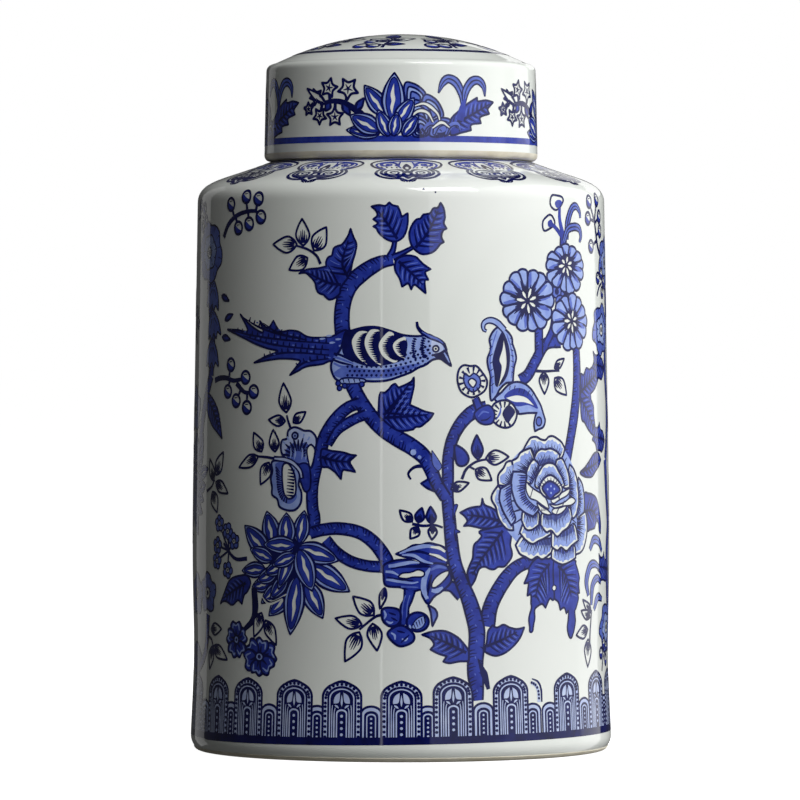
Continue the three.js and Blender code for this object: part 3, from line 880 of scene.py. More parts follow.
# buds and curling sepals over them
scene += shape([(70, 226.5), (69.6, 229), (71, 231), (74, 231), (77, 230.5), (78, 229), (76, 226.5),
    (73, 225)], BARE)
scene += shape([(65, 220), (67, 222), (69.5, 223), (71.5, 221.5), (72, 219), (67, 216.5), (65.2, 217)], BARE)
for bud in ([(76, 226.6), (73.5, 226), (72.5, 228), (74.5, 229.2), (77, 228.6)],
            [(71.5, 218.5), (68.5, 218), (68, 220), (70, 221)]):
    scene += washed(bud, DEEP)
scene += stroke([(77.5, 215), (75.5, 221), (75.5, 226)], (2.6, 2, 1.6), DEEP)
scene += stroke([(77, 214), (73, 217.5), (70.5, 219)], (2.2, 1.6), DEEP)
for curl in ([(80, 213), (81, 220), (84, 225.5), (87.5, 226.8), (90.5, 224.5), (91, 222)],
             [(78, 212), (81, 217), (86, 218.3), (90, 217.5), (91.3, 214.5), (90, 212)]):
    scene += stroke(curl, (2.8, 3.8, 3.6, 1.6)) + stroke(curl, (1.4, 2.4, 2.2, 0.6), MID)
    scene += stroke(curl, (0.4, 0.7, 0.5, 0.2), LINE)
# ---------------------------------------------------------------------------------------------------
# The half-open buds on the trunk's right: a ball bud on a stalk, two long leaves that curl over at the
# tip, each with a white flame down its dark inside, and a second ball between them.
# ---------------------------------------------------------------------------------------------------
scene += branch([(31, 148), (33, 143)], (2.6, 3.4), bark=False)
scene += shape([(23.3, 156), (24, 159.5), (26, 161.3), (29, 161), (31.5, 161), (34, 158.5), (36.2, 155),
                (35.5, 151.5), (33, 149.5), (30, 148.3), (27.5, 148.8), (25, 150.5), (23.8, 153)], BARE)
scene += shape([(26.5, 158), (28.5, 156.8), (30.5, 158), (33, 156), (33, 152.5), (30, 150.5), (27.5, 152),
                (26, 155)], MID, 0.7)
scene += shape([(28, 154.5), (29.5, 156), (31.5, 154.5), (30, 152.3)], BARE, 0.7)
for n in range(13):
    a = math.tau * n / 13
    scene += stroke([(29.7 + 5.8 * math.cos(a), 155 + 5.8 * math.sin(a)),
                     (29.7 + 3.3 * math.cos(a), 155 + 3.2 * math.sin(a))], (1.15, 0.45))
scene += shape([(38, 147), (37.5, 152), (37.8, 157), (36.8, 160.5), (36.5, 164), (38, 168), (37.5, 172),
    (39.5, 175.5), (42.5, 177), (46, 175), (48, 172.5), (48.3, 170), (49.5, 167), (50, 164), (49, 160.5),
    (48.5, 157), (48, 154.5), (45, 154), (42, 151.5), (40.5, 149)], PALE)
scene += washed([(40, 153), (39.5, 158), (38.7, 163), (40, 168), (42, 173), (43.5, 175), (45, 173),
    (46.5, 169), (47, 165), (46.5, 160), (45, 156), (42, 153)], LINE)
scene += washed([(41, 151.5), (42.5, 157), (43, 161), (42, 163.5), (43.5, 168), (44, 171.5), (44, 171.5),
                       (45, 167), (45.3, 162), (44.3, 158), (42, 154)], BARE)
for side_line in ([(38.6, 150), (38.4, 156), (37.6, 163), (39, 170), (41, 175.5)],
                  [(47.4, 156), (48.5, 162), (47.6, 168), (45.5, 174)]):
    scene += stroke(side_line, (0.4, 0.8, 0.4), MID)
curl = [(44.5, 175.5), (41, 178.6), (37.6, 179.6), (35, 178.4), (34.8, 176), (36.2, 175.2)]
scene += stroke(curl, (3, 3.2, 3, 2.4, 1.4)) + stroke(curl, (1.6, 1.8, 1.6, 1.1, 0.3), PALE)
for n in range(7):
    scene += stroke([(38.1 - 0.15 * n, 153 + 3 * n), (39.4 - 0.1 * n, 154 + 3 * n)], (0.5, 0.25))
    scene += stroke([(49 - 0.1 * n, 158 + 2.3 * n), (47.6 - 0.1 * n, 158.6 + 2.3 * n)], (0.5, 0.25))
scene += shape([(40, 147), (43, 150.5), (46.5, 153.5), (50, 154.5), (54, 153.8), (57.5, 151.5),
    (60, 148.5), (62.5, 145), (64, 141.5), (65, 138.5), (63.8, 136), (61, 135), (59.3, 134.3),
    (59.3, 134.3), (58.8, 137.5), (59.8, 141), (60.5, 141.8), (60.5, 141.8), (56, 141.8), (51, 141.5),
    (50, 143)], PALE)
scene += washed([(44, 148.5), (48, 151.5), (53, 151.8), (57, 149.5), (60, 145.8), (60.8, 143.5), (56, 145),
                       (51, 144.5), (47, 145.5)], DEEP)
scene += washed([(45, 148), (45, 148), (50, 149), (55, 148), (59, 144.8), (59, 144.8), (54, 146.2),
    (49, 146.4)], BARE)
for n in range(6):
    scene += stroke([(47 + 2.4 * n, 153 - 0.5 * n * (n > 1)), (46.6 + 2.2 * n,
        151.2 - 0.6 * n * (n > 1))], (0.5, 0.25))
scene += spot(61.5, 138.3, 1.5, MID, 1.2, 0.7)
scene += shape([(37.5, 140.5), (38.5, 144.5), (41, 146.5), (45, 147), (48, 145.5), (49.8, 143), (50, 140.5),
                (48.5, 137.5), (46, 136), (43, 136), (40, 137.5)], BARE)
scene += shape([(43.5, 142), (46, 144.8), (49, 142.5), (47, 139.5), (45.5, 138), (44, 140)], LINE, 0.5)
scene += stroke([(40, 139), (42, 141.8), (42.5, 145)], (0.5, 0.9, 0.4), MID)
for n in range(11):
    a = math.radians(60 + 24 * n)
    scene += stroke([(43.8 + 5.9 * math.cos(a), 141.3 + 5.2 * math.sin(a)),
                     (43.8 + 3.2 * math.cos(a), 141.3 + 2.8 * math.sin(a))], (1.1, 0.45))
scene += shape([(30.5, 141.5), (33, 144), (37, 145), (39.5, 142), (38.6, 138), (35, 137.2), (32, 138.6)],
    DEEP, 0.8)
scene += stroke([(32.2, 140.4), (34.4, 142.4), (37, 142)], (0.5, 0.9, 0.4), MID)
scene += stroke([(33.4, 138.9), (36, 139.2), (37.8, 140.6)], (0.5, 0.7, 0.3), LINE)
# ---------------------------------------------------------------------------------------------------
# The bird: a long tail of narrow barred feathers, a dark wing with toothed white crescents, a pale
# speckled belly and neck, and a pale head with a ring eye, a dark brow and a small crest.
# ---------------------------------------------------------------------------------------------------
TAIL = [(-85, 176), (-85, 176), (-78, 175.8), (-71, 175.5), (-76, 182.3), (-76, 182.3), (-69, 177.5),
    (-62, 174.7), (-64, 179.5), (-64, 179.5), (-59.5, 176.5), (-56.5, 179.5), (-56.5, 179.5),
    (-53, 175.2), (-48, 175.5), (-44, 175), (-40, 173), (-35, 172.5), (-29, 173), (-22, 175), (-22, 161),
    (-29, 163), (-33, 161.8), (-40, 160.8), (-44, 159), (-48, 157.2), (-48, 157.2), (-45, 160.5),
    (-43, 163), (-46, 163.8), (-52, 164), (-58, 163.5), (-67, 162.3), (-67, 162.3), (-60, 165),
    (-54, 167), (-60, 168.3), (-67, 170.3), (-75, 173)]
scene += shape(TAIL, DEEP, 0.9)
# each feather of the tail is a dark line, crossed by short bars
for feather in ([(-82, 175.6), (-66, 173.2), (-48, 171.4), (-30, 170.2)], [(-74, 173.4), (-58, 170),
        (-44, 168.4), (-30, 167.6)], [(-74, 181), (-64, 176.8), (-52, 173.6), (-40, 171.6)],
        [(-62, 178.6), (-54, 174.6), (-42, 172)], [(-65, 163), (-54, 166), (-44, 166.4), (-30, 165.4)],
        [(-47, 158), (-41, 162.4), (-30, 164)]):
    scene += stroke(feather, (0.3, 1.0, 0.8, 0.6), LINE)
    line = curve(feather)
    for n, (at, way) in enumerate(list(zip(line, across(line)))[10:-2:7]):
        scene += stroke([at, at + way * 1.9], (1.1, 0.5), LINE)
        if n % 3 == 1:
            scene += stroke([at + (1.4, 0.7), at + (2.6, 0.6)], (0.4, 0.7, 0.3), MID)
for x, z in ((-33, 172.2), (-26, 172), (-28.6, 170.6), (-24.6, 169.4), (-30, 173.4)):
    scene += stroke([(x - 1.2, z - 0.2), (x + 1.2, z)], (0.6, 0.9, 0.3), PALE)
# the body, over the branch that crosses the rump
scene += shape([(-23, 174.5), (-20, 175.5), (-15, 176.7), (-10, 176.8), (-5, 175.5), (0, 173.8),
    (4, 173.2), (8, 173.2), (11, 173.8), (14, 172.5), (17, 170.5), (18.5, 168), (19, 166), (20.7, 161),
    (20.7, 161), (18, 162.8), (16, 164), (13, 163.5), (10, 161.5), (7, 160.3), (4, 158.5), (0, 157),
    (-5, 155.3), (-10, 154.8), (-15, 155), (-20, 155.5), (-25, 154.8), (-28, 157), (-29, 162),
    (-25, 168)], PALE, 1.0)
scene += washed([(-28, 158), (-24, 156), (-15, 156), (-5, 156.4), (3, 159), (8, 162), (0, 161), (-8, 159.6),
                       (-16, 160), (-22, 161.4)], MID)
scene += washed([(-20, 176), (-10, 176.3), (0, 173.4), (2.5, 171), (2.3, 167), (0.4, 163.4), (-6, 161.4),
    (-13, 160.8), (-20, 163), (-24, 166), (-24, 172)], LINE)
for n in range(4):
    fold = [(-28, 162.2 + 1.3 * n), (-24.6, 160.8 + 1.5 * n), (-19.6, 160.6 + 0.7 * n)]
    scene += stroke(fold, (0.9, 1.0, 0.4), LINE if n % 2 else MID)
# the belly's dots, in rows that follow its curve
for row in range(5):
    for n in range(19):
        x = -22 + 2.0 * n + 1.0 * (row % 2)
        z = 157.2 + 1.75 * row + 0.014 * (x + 8)**2 * (x > -8)
        if x < 11.5 and z < 161.6 + max(0, 0.62 * (x + 5)):
            scene += stroke([(x - 0.4, z - 0.3), (x + 0.35, z + 0.4)], (0.8, 1.15, 0.5), LINE)
# the wing: white crescents, each bitten from behind by a row of dark teeth
CRESCENTS_OF_WING = [
    ([(-17.4, 175), (-20, 172), (-20, 169), (-18.8, 166), (-16.6, 163.4), (-13.8, 161.6)],
     [(-13.8, 174.8), (-16.2, 172), (-16.8, 169), (-16, 166), (-14.6, 163.6), (-13.8, 161.6)]),
    ([(-12.2, 175.8), (-14.4, 173), (-14.9, 170), (-14, 167), (-12, 164), (-9, 161.6)],
     [(-8.8, 175.4), (-11, 172.6), (-11.7, 169.6), (-10.8, 166.6), (-9.2, 163.8), (-8, 161.8)]),
    ([(-4.8, 175), (-7.2, 173), (-9, 170), (-8.6, 167), (-6.6, 164.2), (-3, 162.4)],
     [(-2.8, 173.8), (-4.8, 171.6), (-5.9, 169.6), (-5.4, 167), (-3.6, 164.6), (-1.4, 163.2)]),
    ([(1.6, 172.8), (-1, 172), (-3.1, 170), (-2.9, 167.6), (-1, 165.2), (1.8, 164)],
     [(2, 171.6), (0.5, 170.6), (-0.5, 169), (0, 167), (1.2, 165.6), (1.8, 164)])]
for front, rear in CRESCENTS_OF_WING:
    scene += washed(front + rear[::-1], BARE)
    bites = curve(rear, step=1.15)
    for (x, z), way in zip(bites[1:-1], across(bites)[1:-1]):
        scene += stroke([(x + 0.4, z), (x - 1.7, z + 0.35 * way[1])], (1.0, 0.2), LINE)
# the neck is scratched with short dark marks in two bars
for n in range(9):
    z = 172.2 - 0.95 * n
    bow = 0.05 * (z - 168.5)**2
    scene += stroke([(4.2 + bow, z), (5.8 + bow, z - 0.5)], (0.5, 1.0, 0.4), LINE)
    scene += stroke([(7.8 + bow, z + 0.3), (9.6 + bow, z - 0.2)], (0.5, 1.1, 0.4), LINE)
for x, z in ((11.4, 171), (11.8, 169.2), (11.2, 167.6), (11.8, 166.2), (10.4, 165), (13, 165.4)):
    scene += spot(x, z, 0.55, LINE)
# the head: a ring eye in a pale cheek, a dark brow that runs back into the crest, and the beak
scene += washed([(12.8, 171.2), (15.6, 170.6), (17.4, 168.6), (16.8, 166.4), (14, 166), (12.6, 168)], FAINT)
scene += spot(14.3, 168, 1.25, BARE, edge=0.8) + spot(14.3, 168, 0.5, LINE)
scene += stroke([(6.5, 179), (7, 176.6), (9, 174.4), (12, 172.8), (15.2, 171.6), (17.6, 170), (18.9, 167.4)],
                (1.0, 1.5, 1.9, 2.0, 1.9, 1.5, 0.9), LINE)
scene += stroke([(8.6, 174.9), (12, 173), (15.2, 171.8), (17.4, 170.2)], (0.3, 0.8, 0.8, 0.3), MID)
scene += shape([(13.4, 165.6), (16, 166.4), (18.4, 167.6), (19.4, 165.4), (20.7, 161.2), (20.7, 161.2),
    (18, 163.4), (15.4, 163.9)], LINE, 0.4)
scene += stroke([(17.8, 166.4), (19, 164.4), (20, 162.4)], (0.5, 0.8, 0.3), PALE)
# the claws: two pale cuffs, then the dark toes that grip the branch
scene += shape([(-25, 155.6), (-22, 156.2), (-15.4, 155.8), (-14.8, 154.4), (-20, 153.8), (-25, 154)],
    PALE, 0.7)
for n in range(5):
    x = -24 + 2.3 * n
    scene += stroke([(x, 155.8), (x + 0.5, 154.2)], (0.6, 0.3), LINE)
for x, z in ((-26, 154), (-25.4, 152), (-23.2, 153), (-16, 153.6)):
    scene += spot(x, z, 1.0, DEEP, edge=0.6)
# ---------------------------------------------------------------------------------------------------
# The lily and its balls, and the smaller flowers and berries between the branches: outlined lobes with
# washes and a few veins, and round berries that are dark on the side away from the light.
# ---------------------------------------------------------------------------------------------------
def blossom(outline, centre, tone=PALE, rays=9, reach=0.62, eye=None):
    """A lobed blossom: washed, edged, and rayed from its centre towards its rim."""
    marks = shape(outline, tone, 0.85)
    rim = curve(outline, True)
    centre = np.array(centre, float)
    for n in range(rays):
        way = np.array((math.cos(math.tau * n / rays + 0.2), math.sin(math.tau * n / rays + 0.2)))
        far = room(centre, way, rim)
        marks += stroke([centre + way * far * 0.2, centre + way * far * (reach if n % 2
            else reach * 0.75)], (0.8, 0.25))
        marks += stroke([centre + way * far * 0.95, centre + way * far * 0.72], (0.6, 0.2))
    if eye:
        marks += spot(*centre, eye, BARE, edge=0.8) + spot(*centre, eye * 0.45, LINE)
    return marks


def berry(x, z, r=2.6, tone=BARE):
    """A berry, dark on its lower side, with a small light left on it."""
    half = [(x + r * 0.8 * math.cos(a), z + r * 0.8 * math.sin(a)) for a in np.radians(range(150, 331, 30))]
    marks = spot(x, z, r, tone, edge=1.15)
    marks += washed([half[0], *half, half[-1], (x + 0.1 * r, z - 0.15 * r)], DEEP)
    return marks + stroke([(x - r * 0.4, z + r * 0.45), (x + r * 0.35, z + r * 0.5)], (0.5, 0.3), LINE)


def floret(x, z, r, lobes=5, turn=90, tone=MID):
    """A small open flower seen from the front."""
    marks = []
    for n in range(lobes):
        a = math.radians(turn) + math.tau * n / lobes
        marks += spot(x + r * 0.58 * math.cos(a), z + r * 0.58 * math.sin(a), r * 0.46, tone, edge=0.7)
    marks += spot(x, z, r * 0.35, BARE, edge=0.6)
    return marks + spot(x, z, r * 0.14, LINE)


# the lily: a curled upper petal, a body of long folds with two white windows, and a sepal that hangs down
scene += shape([(-2, 84.8), (-2, 84.8), (2, 86.6), (5, 88.3), (8, 88.5), (11, 89.2), (14, 88.7), (18, 87),
    (19, 83), (18, 80), (14, 79.8), (10, 80.3), (6.5, 82.6), (2, 83.5)], DEEP)
scene += shape([(-7, 80), (-3, 82), (3, 82.4), (9, 80.6), (15, 81), (19, 79.5), (20.6, 74), (17.4, 70.2),
    (13.6, 67.6), (11, 64.6), (8.8, 67.6), (8, 70.2), (4, 69.4), (0, 71.2), (-6, 72), (-7, 76)], DEEP)
FOLDS = [
    ([(-0.6, 85), (5, 87), (10, 88), (14.5, 87.4)], (0.5, 1.5, 1.6, 1.0), PALE),
    ([(12, 87.6), (15.5, 87.2), (18, 85.6)], (0.6, 1.4, 0.9), BARE),
    ([(2, 85.4), (7, 85.8), (12, 84.4), (17, 82)], (0.6, 1.2, 0.9, 0.5), LINE),
    ([(0.4, 84.4), (5, 84.2), (9, 82), (13, 80.8)], (0.5, 1.3, 1.2, 0.6), PALE),
    ([(11.5, 84.9), (15, 83.9), (18.6, 82)], (0.5, 1.3, 0.7), BARE),
    ([(-5, 79.8), (-1, 80.4), (4, 81.4), (7.5, 81.2)], (1.2, 1.6, 1.3, 0.5), PALE),
    ([(-4, 78.8), (1, 79.6), (7, 79.8), (12, 79.6)], (0.5, 1.0, 1.4, 0.6), LINE),
    ([(-6.2, 77.6), (-3.5, 77.4), (-1, 76.2)], (0.9, 1.1, 0.5), PALE),
    ([(-6, 74.4), (-1, 73.8), (4, 73), (7, 73.4)], (0.7, 1.3, 1.0, 0.5), PALE),
    ([(-5.6, 75.4), (0, 74.4), (5, 74)], (0.5, 0.8, 0.4), LINE),
    ([(0, 71.6), (4, 71.4), (7, 71.2)], (0.7, 0.9, 0.4), MID),
    ([(11.8, 79), (9.6, 75), (9.2, 70.5), (10.6, 66.5)], (0.9, 2.2, 2.2, 1.4), PALE),
    ([(12, 78.2), (15, 79.6), (18.5, 79)], (0.8, 1.4, 0.8), MID),
    ([(12.4, 70), (14.5, 69.8), (17, 71.2)], (1.2, 2.0, 0.8), PALE),
    ([(12.4, 76.4), (11.2, 71), (10.8, 67.8)], (0.7, 1.5, 0.4), LINE)]
for fold, width, tone in FOLDS:
    scene += stroke(fold, width, tone)
scene += shape([(-1, 75.4), (0.6, 77), (4, 77.4), (7, 78.4), (9.4, 77.4), (8.8, 75.6), (5, 75.4),
    (2, 74.8)], BARE, 0.7)
scene += shape([(12.4, 71.6), (13.4, 74.4), (16, 76.8), (19.2, 78), (19.4, 76.4), (17, 73.4), (14, 71.2)],
    BARE, 0.7)
scene += branch([(3.6, 70), (2.8, 66), (1.4, 62.5), (1.6, 56)], (4.2, 3.0, 3.4, 3.6), bark=False)
for x in (0.4, 2.2):
    scene += stroke([(x + 1.4, 68), (x + 0.4, 64), (x, 58.6)], (0.4, 0.6, 0.3), MID)
scene += shape([(11, 64), (11, 64), (13.8, 62.4), (14.8, 60), (13.8, 57.4), (12.8, 55.4), (12.8, 55.4),
    (12.4, 58.6), (12, 61.4)], MID, 0.9)
# its three balls, dark, with a scratched light on each
scene += shape([(-7.6, 62.2), (-4, 63), (-0.6, 61.8), (-0.2, 58), (-2, 55.8), (-5, 55.6), (-7.4, 58)],
    DEEP, 1.0)
scene += shape([(-5.4, 52.6), (-2, 55.4), (1.6, 55.4), (5.2, 52), (4.6, 49), (0, 47.3), (-3.4, 49.2)],
    DEEP, 1.0)
scene += spot(6.8, 57.2, 4.5, DEEP, 0.86, 1.0)
scene += shape([(4.4, 55), (6.2, 58.2), (9.2, 59.6), (10, 57.6), (8.8, 55.2), (6.6, 54.2)], PALE, 0.5)
for n in range(5):
    scene += stroke([(5 + 1.1 * n, 56.6 + 0.7 * n), (6 + 0.9 * n, 54.4 + 0.7 * n)], (0.5, 0.25))
for line in ([(-6.8, 61.8), (-6.2, 60), (-6.8, 58.4)], [(-6, 57.6), (-4.4, 56.8), (-3.2, 57.2)],
        [(-4, 52.8), (-2.6, 51.8), (-2.4, 50)], [(0.4, 50.4), (1.6, 49.8), (2.8, 50.6)],
        [(3.4, 56), (4, 54.6)]):
    scene += stroke(line, (0.5, 1.0, 0.4), PALE)
for line in ([(-5, 61), (-2, 60)], [(-4, 59), (-1.4, 57.6)], [(-1.6, 53.6), (1.6, 52.8)],
        [(0, 48.8), (3.4, 52)]):
    scene += stroke(line, (0.4, 0.9, 0.4), LINE)
# the bloom that stands over the lotus: a striped cup, with one long combed petal under it
scene += shape([(-52, 127), (-51.5, 130.5), (-49, 131.5), (-48.5, 134.5), (-46, 136), (-43.5, 135.7),
    (-41, 134.7), (-38, 134.5), (-35.8, 132.5), (-35.3, 130), (-36, 126), (-37.4, 119.8), (-39.5, 121),
    (-43, 121), (-47, 122.5), (-50.5, 124)], FAINT, 1.0)
scene += washed([(-49, 124), (-49.4, 127), (-46, 129.6), (-43, 128.6), (-40, 130), (-38, 126),
    (-39.6, 121.6), (-44, 121.6)], MID)
for n in range(11):
    a = math.radians(8 + 16.5 * n)
    way = np.array((math.cos(a), math.sin(a)))
    scene += stroke([(-43.6, 124) + way * 2.4, (-43.6, 124) + way * (7.2 if n % 2 else 8.2)],
        (0.5, 1.3, 0.5), LINE)
    if 2 < n < 9:
        scene += stroke([(-43.6, 124) + way * 8, (-43.6, 124) + way * 9.8], (0.5, 0.9), PALE)
for x, width in ((-47.4, 0.7), (-45.4, 0.9), (-42, 0.8), (-40.2, 0.6)):
    scene += stroke([(x, 123), (x + 0.4, 125.4), (x + 0.2, 127.6)], (0.3, width, 0.3), PALE)
scene += spot(-45.2, 132.6, 1.35, PALE, edge=0.9) + spot(-45.2, 132.6, 0.5, LINE)
scene += shape([(-39.6, 127), (-37.8, 129), (-36, 127), (-36.6, 122.6), (-37.9, 119.6), (-38.9, 122)],
    BARE, 0.8)
scene += shape([(-44, 119.5), (-41.6, 121.4), (-38.8, 120.6), (-37.8, 116), (-38.2, 111), (-40.4, 110),
    (-42.4, 114)], DEEP, 0.8)
scene += shape([(-52, 122.6), (-56.5, 121.8), (-56.2, 118), (-57, 115), (-56.4, 111.6), (-56.2, 108.4),
    (-53.6, 106.6), (-52.4, 103.6), (-48.6, 102.2), (-45, 102.4), (-42.4, 105), (-42, 109.4),
    (-43.3, 112.6), (-43, 117), (-46.6, 121.6)], PALE, 1.0)
scene += washed([(-54.6, 121), (-53.8, 115), (-53.4, 110), (-51, 106), (-47.5, 104.8), (-44.5, 106.8),
    (-44.4, 110), (-48, 121)], MID)
seam = curve([(-54.6, 121), (-54.2, 115), (-53.6, 110.4), (-51.6, 106.4), (-48, 104.6)], step=1.35)
for n, foot in enumerate(seam[1:-1]):
    to_middle = np.array((-47.6, 113)) - foot
    scene += stroke([foot, foot + to_middle / np.hypot(*to_middle) * (2.6 if n % 2 else 3.2)],
        (0.95, 0.3), LINE)
scene += shape([(-51.2, 119.5), (-48.6, 121.4), (-45.8, 118), (-44.6, 113), (-45, 108.5), (-48, 106.9),
    (-50.6, 110)], BARE, 0.9)
for n in range(9):
    scene += stroke([(-45.2 - 0.05 * n, 118.4 - 1.3 * n), (-48.4 - 0.1 * n, 118.8 - 1.3 * n)],
        (0.95, 0.3), LINE)
scene += stroke([(-55.6, 123.2), (-50, 122.8), (-46, 121.4), (-42.8, 118.4), (-41.8, 115)], 2.4, LINE)
scene += stroke([(-55.2, 123.2), (-50, 122.8), (-46, 121.4), (-42.8, 118.4), (-42, 115.6)],
    (0.6, 1.1, 1.1, 0.9, 0.5), FAINT)
# small flowers low on the left, on their twig
scene += twig([(-66, 70), (-65.5, 62), (-67, 57), (-72, 53)], (3.2, 3.6, 3, 2))
scene += white_leaf((-62, 60), (-66.5, 50), 5.5) + white_leaf((-60, 57), (-54.5, 47), 5.5)
for x, z, wide, tall, lobes in ((-77.5, 48.5, 6.6, 7.4, 5), (-63.5, 42, 9.0, 7.4, 6)):
    for n in range(lobes):
        a = math.tau * (n + 0.3) / lobes
        way = np.array((math.cos(a) * wide, math.sin(a) * tall))
        bulge = np.array((-way[1], way[0]))
        loop = [(x, z) + way * far + bulge * out for far, out in ((0.24, -0.22), (0.62, -0.5),
            (0.98, -0.36), (0.9, -0.05), (1.02, 0.26), (0.74, 0.48), (0.24, 0.22))]
        scene += shape(loop, DEEP, 0.95)
        scene += stroke([(x, z) + way * far + bulge * out for far, out in ((0.5, -0.3), (0.84, -0.24),
            (0.78, 0), (0.86, 0.2), (0.6, 0.3))], (0.4, 0.9, 0.5, 0.9, 0.4), PALE)
        scene += stroke([(x, z) + way * 0.25, (x, z) + way * 0.62], (1.3, 0.4), LINE)
    scene += spot(x, z, wide * 0.24, PALE, tall / wide, 0.9) + spot(x, z, wide * 0.1, LINE)

# each bunch is its stems, then its berries
BUNCHES = [
    ([[(-89, 214), (-86, 218.5), (-82, 221.5), (-77, 223.5), (-71, 224.5), (-67, 224.5)]],
     [(-83.5, 227.5), (-73, 230.5), (-65.5, 229.5), (-64, 222), (-71, 219.3), (-78, 217.7)]),
    ([[(-95, 155), (-90, 156), (-85, 156), (-80, 155), (-75, 155.5), (-72, 156)], [(-78, 154),
      (-73, 150.5), (-70, 150)]], [(-82, 161.5), (-72, 156.3), (-67, 150.5), (-71, 144), (-78, 146.7),
      (-84, 150.5)]),
    ([[(119, 204), (114, 207), (110, 211), (108, 216), (106, 221)]],
     [(100, 229), (109.5, 230), (98.5, 222), (113, 223), (114, 217), (101.5, 210.5)]),
]
for stems, berries in BUNCHES:
    for stem in stems:
        scene += twig(stem, (2.4, 2.0, 1.5))
    for x, z in berries:
        near = min((tuple(p) for stem in stems for p in curve(stem)), key=lambda p: math.dist(p, (x, z)))
        scene += twig([near, (x, z)], (1.5, 1.1)) + berry(x, z)
scene += twig([(-70, 82), (-78, 82), (-86, 88)], (1.8, 1.2))
for x, z in ((-89.5, 96), (-91, 87), (-91.5, 80.5), (-83, 93), (-78.5, 89), (-83, 77)):
    scene += twig([(-82, 85), (x, z)], 1.0) + floret(x, z, 3.4, turn=x * 7)
# ---------------------------------------------------------------------------------------------------
# Where one painting of the scene ends and the next begins: tall blooms, a second lotus, bell flowers
# and curling fronds fill the gap, so that no bare seam shows on the jar's sides.
# ---------------------------------------------------------------------------------------------------
def frond(points, width, tone=MID):
    """A curling frond: a broad pale-edged stroke with a dark rim and spine."""
    wide = np.array(width, float)
    return stroke(points, wide + 1.4) + stroke(points, wide, tone) + stroke(points, wide * 0.18, LINE)


def lobed(x, z, angles, reaches, tall=1.0):
    """A lobed outline round a centre, with a reach for each angle."""
    return [(x + r * math.cos(math.radians(a)), z + r * tall * math.sin(math.radians(a)))
            for a, r in zip(angles, reaches)]


# a tall stem with two peonies and their leaves
scene += branch([(119, 122), (123, 134), (124, 146), (121, 158), (122, 170), (126, 182), (126, 196)], 4.6)
scene += branch([(124, 60), (121, 72), (120, 84), (123, 96), (120, 108), (118, 122)], 5)
for x, z, flip in ((118, 160, False), (127, 138, True), (117, 130, False), (128, 186, True),
        (122, 76, False)):
    scene += moved(leaf([(0, 0), (0, 0), (-3, 3.5), (-7, 4.6), (-8.4, 7.5), (-8.4, 7.5), (-10, 5.6),
        (-13.4, 5.4), (-16, 7), (-16, 7), (-15.2, 3.2), (-17.4, 0.4), (-17.4, 0.4), (-14, -1.2),
        (-12.6, -4), (-12.6, -4), (-9, -4), (-5, -4.6), (-2, -2.6)], [(-0.6, 0), (-8, 1), (-15.4, 1.6)]),
        x, z, flip)
for x, z, turn in ((124, 204, 0), (121, 52, 170), (114, 176, 60)):
    scene += blossom(lobed(x, z, range(turn, 360 + turn, 20), [12, 13, 10.6] * 6, 0.86), (x, z), MID, 17)
    scene += blossom(lobed(x, z, range(turn, 360 + turn, 24), [7.5, 8.4, 6.6] * 5, 0.8), (x, z), PALE, 13,
        eye=2.6)
# the second lotus, and the bells over it
for base, tip, width in LOTUS_PETALS:
    scene += moved(moved(pointed_petal(base, tip, width), 48, -78), -121, 112, True, 0.85, 20)
scene += branch([(-112, 128), (-108, 140), (-103, 150), (-99, 157)], 4.4)
scene += branch([(-99, 157), (-98, 172), (-102, 190), (-103, 200)], 4.2)
for x, z, turn in ((-98.5, 166, 0), (-97.5, 178, 10), (-98.5, 190, -8)):
    bell = [(-6, -5), (-5, 1), (-2, 5), (0, 6.4), (2, 5), (5, 1), (6.4, -5), (3.6, -3.6), (2, -6),
        (0, -3.8), (-2.4, -6), (-4, -3.8)]
    scene += moved(blossom(bell, (0, 4.5), MID, 11), x, z, turn=turn)
scene += blossom(lobed(-103, 208, range(0, 360, 20), [12.6, 11.4, 13] * 6), (-103, 208), MID, 15)
scene += blossom(lobed(-103, 208, range(10, 370, 30), [7.6, 6.8] * 6), (-103, 208), PALE, 11, eye=2.4)
scene += leaf([(-104, 150), (-104, 150), (-100, 149), (-95, 146), (-91, 141), (-88, 131), (-88, 131),
    (-93, 134), (-98, 137), (-103, 143)], [(-103, 148), (-96, 142), (-90, 134)])
for x, z, turn in ((-90, 190, 200), (-87, 180, 160), (-89, 173, 190)):
    scene += moved(white_leaf((0, 0), (6.4, 0), 2.4, 2, DEEP), x, z, turn=-turn + 180)
for x, z, r in ((-101, 67, 8), (-116, 66, 8.5), (-122, 143, 9)):
    scene += blossom(lobed(x, z, range(0, 360, 24), [r, r * 1.08, r * 0.84] * 5), (x, z), MID, 13,
        eye=r * 0.3)
scene += branch([(-101, 58), (-104, 44), (-112, 36), (-122, 34)], 3.2)
scene += leaf([(-110, 40), (-110, 40), (-114, 44), (-119, 46), (-124, 44), (-129, 46), (-129, 46),
    (-126, 41), (-127, 37), (-121, 35), (-115, 36)], [(-111, 40), (-119, 41), (-127, 42)])
# berries and small leaves over the seam
for x, z, turn in ((108, 190, 10), (-121, 170, 80), (-122, 222, -20), (112, 34, 30), (-124, 90, 120)):
    scene += moved(twig([(0, 0), (4, 3), (9, 4)], 1.2), x, z, turn=turn)
    for i, j in ((3, 7), (9, 8), (13, 4), (9, 0)):
        scene += moved(berry(i, j, 2.3), x, z, turn=turn)
